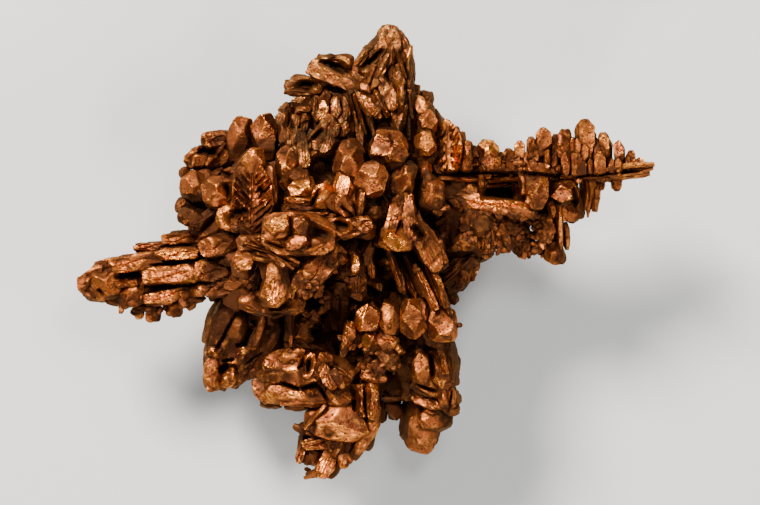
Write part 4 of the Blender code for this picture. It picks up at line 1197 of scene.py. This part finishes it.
# %% Add the face
FACE_SPACING = 0.26  # mm between vertices
for form, *row in face_gaps:
    seed = random.Random(row[0])
    # Painted dark: painted shade in the gaps.
    add_crystal("copper_under", form, face_place(form, *row), seed, UNDER_SPACING, dark=0.9)
for piece, rows in faces_of.items():
    for form, *row in rows:
        seed = random.Random(1000 * row[0] + row[1])
        # dark is how much darker a crystal is painted, as tarnish and as painted shade.
        bend, dark = (*row[6:], 0.0, 0.0)[:2]
        add_crystal(piece, form, face_place(form, *row), seed, FACE_SPACING, bend, dark)
# Each crystal of a sheaf is drawn a little off its even place, length, width and height.
for piece, rows in sheaves.items():
    for form, *ends_of, count, width, lift in rows:
        seed = random.Random(sum(ends_of))
        first_base, last_base, first_tip, last_tip = np.array(ends_of, float).reshape(4, 2)
        for step in range(count):
            share = (step + seed.uniform(0.2, 0.8)) / count
            base = first_base + share * (last_base - first_base)
            tip = first_tip + share * (last_tip - first_tip)
            base = base + (tip - base) * seed.uniform(-0.1, 0.25)
            tip = base + (tip - base) * seed.uniform(0.6, 1.05)
            tip = tip + (seed.uniform(-3, 3), seed.uniform(-3, 3))
            one_width, one_lift = width * seed.uniform(0.7, 1.5), lift + seed.uniform(-0.6, 0.5)
            place = face_place(form, *base, *tip, one_width, one_lift)
            add_crystal(piece, form, place, seed, FACE_SPACING, seed.uniform(-0.5, 0.5))
print("crystals so far:", len(crystals))

# %% [markdown]
# ## The sides
# Short crystals cover the sides too. Level rays cast inward on the solid give where each one
# stands and which way the surface faces there. Only those that the top hides from above stay.

# %% Sides
SIDE_CRYSTALS = 330
SIDE_SPACING = 0.65  # mm between vertices
SIDE_REACH = 34.0  # mm from the middle; beyond that is an arm, which has its own crystals
SIDE_COVER = 2.0  # mm of solid that hides a crystal's tip
SIDE_HEIGHTS, SIDE_LENGTH = (2.0, 21.0), (3.4, 7.0)  # mm
SIDE_WIDTH = (0.5, 0.8)  # of the length
SIDE_TURN, SIDE_RISE = (-30, 30), (-25, 25)  # degrees, off the way the surface faces
SIDE_SUNK, SIDE_TIP = 0.14, 0.75  # of the length: its middle below the surface, and its tip out
SIDE_STEEP = 0.5  # the height of a normal above which a surface faces up
RAY_START = 0.08  # metres from the middle, outside the solid
seed = random.Random(77)
before = len(crystals)
for step in range(SIDE_CRYSTALS):
    turn, height = seed.uniform(0.0, 2.0 * math.pi), seed.uniform(*SIDE_HEIGHTS)
    out = Vector((math.cos(turn), math.sin(turn), 0.0))
    start = out * RAY_START + Vector((0.0, 0.0, height * MM))
    hit, spot, normal, _ = solid.ray_cast(start, -out)
    length = seed.uniform(*SIDE_LENGTH)
    width = length * seed.uniform(*SIDE_WIDTH)
    heading = math.degrees(math.atan2(normal.y, normal.x)) + seed.uniform(*SIDE_TURN)
    rise = math.degrees(math.asin(normal.z)) + seed.uniform(*SIDE_RISE)
    if not hit or normal.z > SIDE_STEEP or spot.z < 0.4 * width * MM:
        continue
    middle = np.array(spot - normal * SIDE_SUNK * length * MM) / MM - SHIFT
    tip = middle + np.array(normal) * SIDE_TIP * length
    cover = solid_height(tip[0], tip[1])
    if spot.length < SIDE_REACH * MM and cover is not None and cover > tip[2] + SIDE_COVER:
        form = seed.choice(("knob", "knob", "drop", "bud"))
        place = (*middle, length, width, width, heading, rise)
        # A little darker: painted shade under the overhanging top.
        add_crystal("copper_sides", form, place, seed, SIDE_SPACING, dark=0.2)
print("sides:", len(crystals) - before, "crystals")

# %% [markdown]
# ## Grains
# Small grains lie on all that, thickest in the hollows. A row is a box in view units, how many
# grains fall in it and their smallest and largest width. Each has only a few dozen faces, and
# lies on the topmost point of the square of half a millimetre that it falls in.

# %% The topmost points
CELL = 0.5  # mm
GRID_EDGE, GRID_CELLS = 60.0, 260  # mm from the middle to the first cell, and cells along a side
NOTHING = -1e3  # mm, the height of an empty cell


def column_of(spots):
    """The two numbers of the square cell that each point is in: (coordinate + edge) / cell."""
    return tuple(((np.asarray(spots)[..., :2] + GRID_EDGE) / CELL).astype(int).T)


def height_grid(points):
    """The height of the topmost point in each square cell, very low where there is none."""
    grid = np.full((GRID_CELLS, GRID_CELLS), NOTHING)
    np.maximum.at(grid, column_of(points), points[:, 2])
    return grid


surface = height_grid(np.concatenate([crystal["points"] for crystal in crystals]))
print("cells with metal:", int((surface > NOTHING).sum()))

# %% Add the grains
GRAIN_SUNK = 0.45  # of its width
GRAIN_LENGTH, GRAIN_HEIGHT = (1.0, 1.9), (0.6, 1.0)  # of its width
GRAIN_TILT = (-35, 35)  # degrees
GRAIN_MARGIN = 0.3  # mm below the top of the box
GRAIN_SPACING = 9.0  # mm, so wide that every grain has the fewest faces
grain_boxes = numbers("""
    482 212 544 256 200 3 7, 436 206 482 250 50 3 7, 300 284 344 344 50 5 9,
    500 150 556 180 22 5 8, 350 344 402 372 60 4 7, 228 276 262 300 10 5 9, 306 258 336 288 12 4 7,
    296 424 350 470 12 4 8, 112 300 204 316 22 6 10, 205 200 460 420 40 4 7
""")
before = len(crystals)
for x0, y0, x1, y1, count, least, most in grain_boxes:
    seed = random.Random(x0 * y0 + x1)
    for _ in range(count):
        x, y = view_point(seed.uniform(x0, x1), seed.uniform(y0, y1))
        height = surface[column_of((x, y))]
        width = PX * seed.uniform(least, most)
        size = (width * seed.uniform(*GRAIN_LENGTH), width, width * seed.uniform(*GRAIN_HEIGHT))
        turn, tilt = seed.uniform(0, 360), seed.uniform(*GRAIN_TILT)
        if NOTHING < height < TOP_OF_BOX - GRAIN_MARGIN:
            place = (x, y, height - GRAIN_SUNK * width, *size, turn, tilt)
            # Most grains are painted darker: painted shade in the hollows they fill.
            dark = seed.choice((0.0, 0.6, 0.8, 0.9, 1.0))
            add_crystal("copper_grains", "bead", place, seed, GRAIN_SPACING, dark=dark)
print("grains:", len(crystals) - before)

# %% [markdown]
# Everything that follows looks at the crystals together, so their points go into one array.

# %% All points in one array
points = np.concatenate([crystal["points"] for crystal in crystals])
ends = np.cumsum([len(crystal["points"]) for crystal in crystals])
starts = np.concatenate(([0], ends[:-1]))
owner = np.repeat(np.arange(len(crystals)), ends - starts)
print("vertices:", len(points))

# %% [markdown]
# ## Slots
# Slots part the growth layers of the larger crystals, and their bottoms are painted dark, as shade.
# A slot is pressed straight down into the topmost surface: its depth fades to nothing at its sides
# and its ends. Rows are: the x and y of its two ends, its width in the same units, and its depth in
# millimetres.

# %% Press the slots
slots = numbers("""
    384 49 360 70 7 2, 400 51 405 57 5 1.2, 393 62 384 76 4 1, 404 62 409 80 3 0.8,
    319 61 349 75 9 2.6, 312 139 323 129 7 2, 298 82 318 84 9 1.2, 290 118 294 130 5 1,
    198 150 217 153 10 2, 221 172 233 177 7 1.6, 258 187 265 194 6 1.6, 225 184 233 203 7 1.4,
    230 214 250 211 10 1.4, 244 198 254 212 3 0.9, 240 190 252 203 3 0.9, 389 132 393 147 5 0.8,
    311 207 319 188 5 1.8, 341 205 356 221 4 1.3, 355 205 357 218 4 1.3, 334 222 350 226 9 1.3,
    308 228 332 238 17 1.8, 291 215 292 238 4 1.1, 265 241 286 250 5 1.1, 402 220 395 236 4 1.3,
    412 225 425 239 9 1.8, 440 173 521 173 5 1.8, 520 173 566 177 5 1.8, 566 179 646 170 3 1.4,
    480 193 517 194 13 2.6, 114 277 142 274 6 2, 145 287 193 284 6 1.8, 150 266 197 260 4 1.2,
    160 247 197 245 5 1.4, 226 258 200 259 4 1.4, 236 346 247 343 6 1.8, 218 371 229 366 9 2.2,
    222 361 234 359 4 1.4, 244 344 254 318 6 2.2, 215 352 237 312 4 1.8, 280 383 300 390 5 2.2,
    301 389 319 384 6 2.2, 300 370 303 358 5 1.8, 308 374 309 359 4 1.8, 262 352 246 364 3 1.2,
    319 386 330 404 4 1.6, 430 352 433 378 6 2.2, 415 384 438 392 4 1.6, 364 386 366 414 4 1.8,
    353 398 355 412 4 1.4, 574 185 576 206 6 1.8, 98 288 104 296 5 1, 452 389 450 408 3 1.2
""")


def top_height(points, reach=0):
    """The height of the topmost point near each point, within so many cells of its own."""
    grid = height_grid(points)
    steps = range(-reach, reach + 1)
    for axis in (0, 1):
        grid = np.maximum.reduce([np.roll(grid, step, axis=axis) for step in steps])
    return grid[column_of(points)]


WAVER = 0.12  # mm, so that a slot's sides aren't straight
slot_shade = np.zeros(len(points))
top = top_height(points)
centre = np.array(VIEW_MIDDLE[:2]) - SHIFT[:2]
nearer = (CAMERA_HEIGHT - FACE_HEIGHT) / (CAMERA_HEIGHT - points[:, 2:])
seen = centre + (points[:, :2] - centre) * nearer
waver = WAVER * noise(points, 0.9, 6)
for base_x, base_y, tip_x, tip_y, width, depth in slots:
    start, end = view_point(base_x, base_y), view_point(tip_x, tip_y)
    length = np.linalg.norm(end - start)
    along = (end - start) / length
    away = seen - (start + end) / 2
    u = (away @ along) / (length / 2)
    v = (away @ np.array((-along[1], along[0])) + waver) / (width * PX / 2)
    inside = np.flatnonzero((np.abs(u) < 1.0) & (np.abs(v) < 1.0))
    pressed = (1.0 - u[inside] ** 4) * (1.0 - v[inside] ** 2) ** 1.5
    near_top = ramp(-4.0, -2.5, points[inside, 2] - top[inside])
    points[inside, 2] -= depth * pressed * near_top
    # Painted shade at the bottom of the slot.
    slot_shade[inside] = np.maximum(slot_shade[inside], ramp(0.25, 0.8, pressed) * near_top)
print("slots:", len(slots))

# %% [markdown]
# ## How close each vertex is to another crystal
# Where crystals meet the colour is darkened, partly as tarnish and partly as painted shade. For
# every other crystal nearby, the largest n . q / d says how far outside it a point q is: 1 on its
# surface, less inside. Pits get tarnish and painted shade, and slots and whatever lies well below
# the tops around it get painted shade.

# %% Creases: tarnish and painted shade
crease_tarnish_and_shade = np.zeros(len(points))
by_x = np.argsort(points[:, 0])
sorted_x = points[by_x, 0]
for index, crystal in enumerate(crystals):
    reach = crystal["radius"] * 1.3 + 0.5
    middle_x = crystal["middle"][0]
    first, last = np.searchsorted(sorted_x, (middle_x - reach, middle_x + reach))
    near = by_x[first:last]
    away = points[near] - crystal["middle"]
    kept = ((away**2).sum(axis=1) < reach**2) & (owner[near] != index)
    near, away = near[kept], away[kept]
    local = np.linalg.solve(crystal["axes"], away.T).T
    normals, distances = all_facets(crystal["facets"])
    outside = (local @ normals.T / distances).max(axis=1)
    gap = (outside - 1.0) * crystal["half"]
    crease_tarnish_and_shade[near] = np.maximum(crease_tarnish_and_shade[near], 1.0 - ramp(-0.1, 0.6, gap))
print("share of vertices near another crystal:", round(float((crease_tarnish_and_shade > 0.5).mean()), 2))


def per_vertex(name):
    """One of the crystals' values for every vertex: their arrays end to end, or one number each."""
    sized = [(crystal[name], len(crystal["points"])) for crystal in crystals]
    return np.concatenate([np.broadcast_to(value, size) for value, size in sized])


below_top, below_near, below_far = (top_height(points, reach) - points[:, 2] for reach in (0, 3, 9))
# Painted shade on whatever lies below the tops near it and at the bottom of deep hollows.
shaded = np.maximum(ramp(1.6, 4.8, below_near), ramp(5.0, 11.0, below_far))
# Each crystal's own darkening, as tarnish and painted shade, is fullest where it lies below the
# top.
dark = per_vertex("dark") * np.maximum(ramp(0.8, 3.5, below_top), 0.75)
crease_tarnish_and_shade = np.maximum.reduce((0.85 * crease_tarnish_and_shade, slot_shade, 0.8 * per_vertex("pit"), 0.8 * shaded, dark))
crease_tarnish_and_shade = np.clip(crease_tarnish_and_shade, 0.0, 1.0)
print("share of vertices in a crease:", round(float((crease_tarnish_and_shade > 0.5).mean()), 2))

# %% [markdown]
# ## Meshes
# The crystals of a piece are joined into one mesh. Each vertex carries three values: tarnish and
# painted shade, edge and tone, one tone for each facet of a crystal. The points are moved from the
# tables' frame to the part's, and kept inside the solid's box.

# %% Make the meshes
SHARP_ABOVE = 22.0  # degrees between two faces
placed_points = np.clip((points + SHIFT) * MM, np.array(cad_low), np.array(cad_high))
values = {"crease_tarnish_and_shade": crease_tarnish_and_shade, "edge": per_vertex("edge"), "tone": per_vertex("tone")}
piece_names = ["copper_under", "copper_back", "copper_sides", *faces_of, "copper_grains"]


def make_piece(name):
    """One mesh from the crystals of a piece, with its three values as attributes."""
    chosen = [index for index, crystal in enumerate(crystals) if crystal["piece"] == name]
    mine = np.concatenate([np.arange(starts[index], ends[index]) for index in chosen])
    sizes = (ends - starts)[chosen]
    offsets = np.cumsum(sizes) - sizes
    faces = [crystals[index]["faces"] + offset for index, offset in zip(chosen, offsets)]
    faces = np.concatenate(faces)
    mesh = bpy.data.meshes.new(name)
    mesh.vertices.add(len(mine))
    mesh.vertices.foreach_set("co", placed_points[mine].astype(np.float32).ravel())
    mesh.loops.add(faces.size)
    mesh.loops.foreach_set("vertex_index", faces.astype(np.int32).ravel())
    mesh.polygons.add(len(faces))
    mesh.polygons.foreach_set("loop_start", np.arange(0, faces.size, 3, dtype=np.int32))
    mesh.polygons.foreach_set("use_smooth", np.full(len(faces), name != "copper_grains"))
    for value_name, value in values.items():
        attribute = mesh.attributes.new(value_name, "FLOAT", "POINT")
        attribute.data.foreach_set("value", value[mine].astype(np.float32))
    mesh.update(calc_edges=True)
    mesh.validate()
    mesh.set_sharp_from_angle(angle=math.radians(SHARP_ABOVE))
    piece = bpy.data.objects.new(name, mesh)
    bpy.context.scene.collection.objects.link(piece)
    print(name, "triangles:", len(faces))
    return piece


made = {name: make_piece(name) for name in piece_names}

# %% [markdown]
# ## Materials
# Copper starts salmon-orange and bright. Air turns it red-brown, then dark brown, and handling
# polishes the edges and the facets that stand proud.

# %% Node helpers
def feed(tree, socket, value):
    """Link an output to a socket, or set the socket's number, colour or vector."""
    if isinstance(value, bpy.types.NodeSocket):
        tree.links.new(value, socket)
    else:
        socket.default_value = value


def blend(tree, share, low, high):
    """A colour between two others."""
    mixed = tree.nodes.new("ShaderNodeMix")
    mixed.data_type = "RGBA"
    feed(tree, mixed.inputs[0], share)
    feed(tree, mixed.inputs[6], low)
    feed(tree, mixed.inputs[7], high)
    return mixed.outputs[2]


def combine(tree, operation, first, second, clamp=True):
    """Two numbers joined by a Math node, kept from 0 to 1 unless clamp is off."""
    joined = tree.nodes.new("ShaderNodeMath")
    joined.operation = operation
    joined.use_clamp = clamp
    feed(tree, joined.inputs[0], first)
    feed(tree, joined.inputs[1], second)
    return joined.outputs[0]


def spread(tree, value, low, high, start=0.0, end=1.0):
    """A smooth step: start below low, end above high."""
    mapped = tree.nodes.new("ShaderNodeMapRange")
    mapped.interpolation_type = "SMOOTHSTEP"
    feed(tree, mapped.inputs["Value"], value)
    for name, number in (("From Min", low), ("From Max", high), ("To Min", start), ("To Max", end)):
        mapped.inputs[name].default_value = number
    return mapped.outputs["Result"]


def cloud(tree, place, size, detail=3.0):
    """Noise with features of a size in millimetres."""
    made_noise = tree.nodes.new("ShaderNodeTexNoise")
    feed(tree, made_noise.inputs["Vector"], place)
    made_noise.inputs["Scale"].default_value = 1.0 / (size * MM)
    made_noise.inputs["Detail"].default_value = detail
    return made_noise.outputs["Fac"]


def new_group(name, inputs, outputs):
    """A node group with named sockets, and its two end nodes."""
    group = bpy.data.node_groups.new(name, "ShaderNodeTree")
    for socket, kind in inputs:
        group.interface.new_socket(socket, in_out="INPUT", socket_type="NodeSocket" + kind)
    for socket, kind in outputs:
        group.interface.new_socket(socket, in_out="OUTPUT", socket_type="NodeSocket" + kind)
    start, end = group.nodes.new("NodeGroupInput"), group.nodes.new("NodeGroupOutput")
    return group, start.outputs, end.inputs


print("helpers: feed, blend, combine, spread, cloud, new_group")

# %% [markdown]
# Two groups hold what all the copper shares. "grain" gives the height of its grain, which a Bump
# node turns into relief. "tarnish" gives its colour, its roughness and its share of bare metal:
# tarnish lies deepest in the pits of the grain and where crystals meet, painted shade darkens the
# gaps, slots and hollows, and the metal is bare on the heights of the grain, along worn edges and
# on a few facets.

# %% Shared groups
# Near-black for deep tarnish and for painted shade.
TARNISH_AND_SHADE_BLACK = (0.014, 0.005, 0.003, 1.0)


def grain_group():
    """The grain's height and strength: sharp ridges where two noises cross 0.5, less pits."""
    inputs, outputs = (("Place", "Vector"),), (("Height", "Float"), ("Share", "Float"))
    group, given, result = new_group("grain", inputs, outputs)
    total = None
    for size, detail, weight in ((1.1, 4.0, 0.9), (0.42, 3.0, 0.7)):
        fold = cloud(group, given["Place"], size, detail)
        fold = combine(group, "SUBTRACT", fold, 0.5, clamp=False)
        fold = combine(group, "MULTIPLY", combine(group, "ABSOLUTE", fold, 0.0), 3.0 * weight)
        total = fold if total is None else combine(group, "ADD", total, fold)
    spots = group.nodes.new("ShaderNodeTexVoronoi")
    feed(group, spots.inputs["Vector"], given["Place"])
    spots.inputs["Scale"].default_value = 1.0 / (0.62 * MM)
    hole = spread(group, spots.outputs["Distance"], 0.12, 0.42, 0.45, 0.0)
    speckle = spread(group, cloud(group, given["Place"], 0.34, 2.0), 0.32, 0.68, 0.1, 0.4)
    total = combine(group, "ADD", combine(group, "SUBTRACT", 0.75, total), speckle)
    feed(group, result["Height"], combine(group, "SUBTRACT", total, hole))
    share = spread(group, cloud(group, given["Place"], 2.6, 2.0), 0.40, 0.62, 0.22, 0.9)
    feed(group, result["Share"], share)
    return group


def tarnish_and_shade_group():
    """Colour, roughness and metal share from tarnish and painted shade, edge, tone, grain height
    and place.
    """
    group, given, result = new_group(
        "tarnish",
        [("Place", "Vector")] + [(name, "Color") for name in ("Tarnished", "Warm", "Bare", "Olive")]
        + [(name, "Float") for name in ("Crease_Tarnish_And_Shade", "Edge", "Tone", "Height", "Patina", "Shine")],
        (("Color", "Color"), ("Roughness", "Float"), ("Metallic", "Float")),
    )
    broad = cloud(group, given["Place"], 4.0, 2.0)
    patches = cloud(group, given["Place"], 1.0, 4.0)
    high = spread(group, given["Height"], 0.42, 0.80)
    low = spread(group, given["Height"], 0.26, 0.52, 1.0, 0.0)
    warm = spread(group, broad, 0.38, 0.66, 0.0, 0.45)
    warm = combine(group, "ADD", warm, spread(group, given["Tone"], 0.2, 0.9, 0.0, 0.9))
    color = blend(group, warm, given["Tarnished"], given["Warm"])
    share = combine(group, "MULTIPLY", given["Patina"], spread(group, patches, 0.42, 0.60))
    color = blend(group, share, color, given["Olive"])
    worn = combine(group, "MULTIPLY", given["Edge"], spread(group, patches, 0.38, 0.58, 0.15, 0.85))
    facet = spread(group, given["Tone"], 0.55, 0.85)
    facet = combine(group, "MULTIPLY", facet, spread(group, patches, 0.36, 0.54))
    facet = combine(group, "MAXIMUM", facet, spread(group, patches, 0.58, 0.68, 0.0, 0.6))
    bare = combine(group, "MAXIMUM", worn, combine(group, "MULTIPLY", facet, given["Shine"]))
    bare = combine(group, "MULTIPLY", bare, combine(group, "ADD", high, 0.25))
    bare = combine(group, "MULTIPLY", bare, combine(group, "SUBTRACT", 1.0, given["Crease_Tarnish_And_Shade"]))
    color = blend(group, bare, color, given["Bare"])
    # Tarnish in the grain's low spots and the painted shade of the crease mask darken the colour.
    dirt_and_shade = combine(group, "MAXIMUM", given["Crease_Tarnish_And_Shade"], combine(group, "MULTIPLY", low, 0.85))
    feed(group, result["Color"], blend(group, dirt_and_shade, color, TARNISH_AND_SHADE_BLACK))
    rough = combine(group, "ADD", 0.36, combine(group, "MULTIPLY", dirt_and_shade, 0.3))
    rough = combine(group, "SUBTRACT", rough, combine(group, "MULTIPLY", bare, 0.12))
    feed(group, result["Roughness"], rough)
    feed(group, result["Metallic"], spread(group, dirt_and_shade, 0.0, 1.0, 1.0, 0.8))
    return group


grain = grain_group()
tarnish = tarnish_and_shade_group()
print("groups:", grain.name, tarnish.name)

# %% [markdown]
# The material itself holds the Principled shader. Tarnished copper is still metal, so Metallic
# stays high and the colour tints what it mirrors. Each finish is this material with its own
# colours and its own share of bare metal and green.

# %% Materials
GRAIN_DEPTH = 0.09  # mm
EDGE_TINT = (1.0, 0.74, 0.50, 1.0)  # what copper mirrors at a glancing angle


def copper(name, tarnished, warm, bare, olive, patina, shine):
    """A copper finish: the two groups feed one Principled shader."""
    material = bpy.data.materials.new(name)
    material.use_nodes = True
    tree = material.node_tree
    shader = tree.nodes["Principled BSDF"]
    place = tree.nodes.new("ShaderNodeTexCoord").outputs["Object"]
    relief = tree.nodes.new("ShaderNodeGroup")
    relief.node_tree = grain
    feed(tree, relief.inputs["Place"], place)
    look = tree.nodes.new("ShaderNodeGroup")
    look.node_tree = tarnish
    feed(tree, look.inputs["Place"], place)
    feed(tree, look.inputs["Height"], relief.outputs["Height"])
    colors = {"Tarnished": tarnished, "Warm": warm, "Bare": bare, "Olive": olive}
    for socket, color in colors.items():
        look.inputs[socket].default_value = (*color, 1.0)
    look.inputs["Patina"].default_value = patina
    look.inputs["Shine"].default_value = shine
    for socket in ("Crease_Tarnish_And_Shade", "Edge", "Tone"):
        value = tree.nodes.new("ShaderNodeAttribute")
        value.attribute_name = socket.lower()
        feed(tree, look.inputs[socket], value.outputs["Fac"])
    bump = tree.nodes.new("ShaderNodeBump")
    bump.inputs["Distance"].default_value = GRAIN_DEPTH * MM
    feed(tree, bump.inputs["Strength"], relief.outputs["Share"])
    feed(tree, bump.inputs["Height"], relief.outputs["Height"])
    for socket in ("Roughness", "Metallic"):
        feed(tree, shader.inputs[socket], look.outputs[socket])
    feed(tree, shader.inputs["Base Color"], look.outputs["Color"])
    feed(tree, shader.inputs["Normal"], bump.outputs["Normal"])
    shader.inputs["Specular Tint"].default_value = EDGE_TINT
    return material


browned = copper("browned_copper", (0.105, 0.026, 0.012), (0.48, 0.135, 0.040),
                 (1.0, 0.38, 0.06), (0.19, 0.12, 0.055), patina=0.2, shine=0.9)
olive = copper("olive_copper", (0.105, 0.031, 0.013), (0.42, 0.132, 0.042),
               (0.98, 0.41, 0.09), (0.19, 0.135, 0.06), patina=0.45, shine=0.8)
# The dull finish is darker: on the under layer, which shows in the gaps, it is painted shade.
dull_shaded = copper("dull_shaded_copper", (0.09, 0.024, 0.010), (0.31, 0.09, 0.028),
              (0.80, 0.34, 0.08), (0.15, 0.11, 0.05), patina=0.2, shine=0.4)
finishes = {"copper_peak": olive, "copper_back": dull_shaded, "copper_sides": dull_shaded, "copper_under": dull_shaded}
for name, piece in made.items():
    piece.data.materials.append(finishes.get(name, browned))
    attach(piece, "root")
    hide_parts("copper_nugget")
print("finishes:", browned.name, olive.name, dull_shaded.name)

# %% [markdown]
# ## Floor and light
# The floor is pale and plain. It is a little blue, and the warm lights turn it neutral. A soft
# light up and to the left brings out the facets that face it, a weak one from above and one from
# the right fill the shadows, and one from below glances along the lower edge.

# %% Floor
FLOOR_HALF = 3.0  # metres
FLOOR_COLOR = (0.565, 0.65, 0.80, 1.0)


def pale_floor(half):
    """A wide square with its finish, which isn't part of the object."""
    mesh = bpy.data.meshes.new("floor")
    corners = [(-half, -half, 0), (half, -half, 0), (half, half, 0), (-half, half, 0)]
    mesh.from_pydata(corners, [], [(0, 1, 2, 3)])
    floor = bpy.data.objects.new("floor", mesh)
    bpy.context.scene.collection.objects.link(floor)
    material = bpy.data.materials.new("pale_floor")
    material.use_nodes = True
    shader = material.node_tree.nodes["Principled BSDF"]
    shader.inputs["Base Color"].default_value = FLOOR_COLOR
    shader.inputs["Roughness"].default_value = 0.9
    mesh.materials.append(material)
    return floor


floor = pale_floor(FLOOR_HALF)
print("floor:", floor.name)

# %% Lights
AIM = Vector((0.0, 0.0, 0.02))  # metres, the middle of the nugget


def soft_light(name, azimuth, elevation, distance, size, power, color):
    """An area light that faces the nugget from a compass turn and a height, in metres and watts."""
    turn, lift = math.radians(azimuth), math.radians(elevation)
    out = Vector((math.cos(lift) * math.cos(turn), math.cos(lift) * math.sin(turn), math.sin(lift)))
    data = bpy.data.lights.new(name, "AREA")
    data.shape = "DISK"
    data.size = size
    data.energy = power
    data.color = color
    light = bpy.data.objects.new(name, data)
    light.location = out * distance + AIM
    light.rotation_euler = (-out).to_track_quat("-Z", "Y").to_euler()
    bpy.context.scene.collection.objects.link(light)
    return light


# Name, azimuth and elevation in degrees, distance and size in metres, power in watts, colour.
soft_light("key", 126, 44, 0.9, 0.28, 28.5, (1.0, 0.83, 0.61))
soft_light("top", 60, 74, 1.0, 0.20, 3.5, (1.0, 0.88, 0.72))
soft_light("fill", -15, 36, 0.9, 0.22, 4.6, (1.0, 0.86, 0.67))
soft_light("kicker", -100, 38, 0.9, 0.2, 6.0, (1.0, 0.86, 0.68))
world = bpy.data.worlds.new("studio")
world.use_nodes = True
world.node_tree.nodes["Background"].inputs["Color"].default_value = (0.9, 0.94, 1.0, 1.0)
world.node_tree.nodes["Background"].inputs["Strength"].default_value = 0.06
bpy.context.scene.world = world
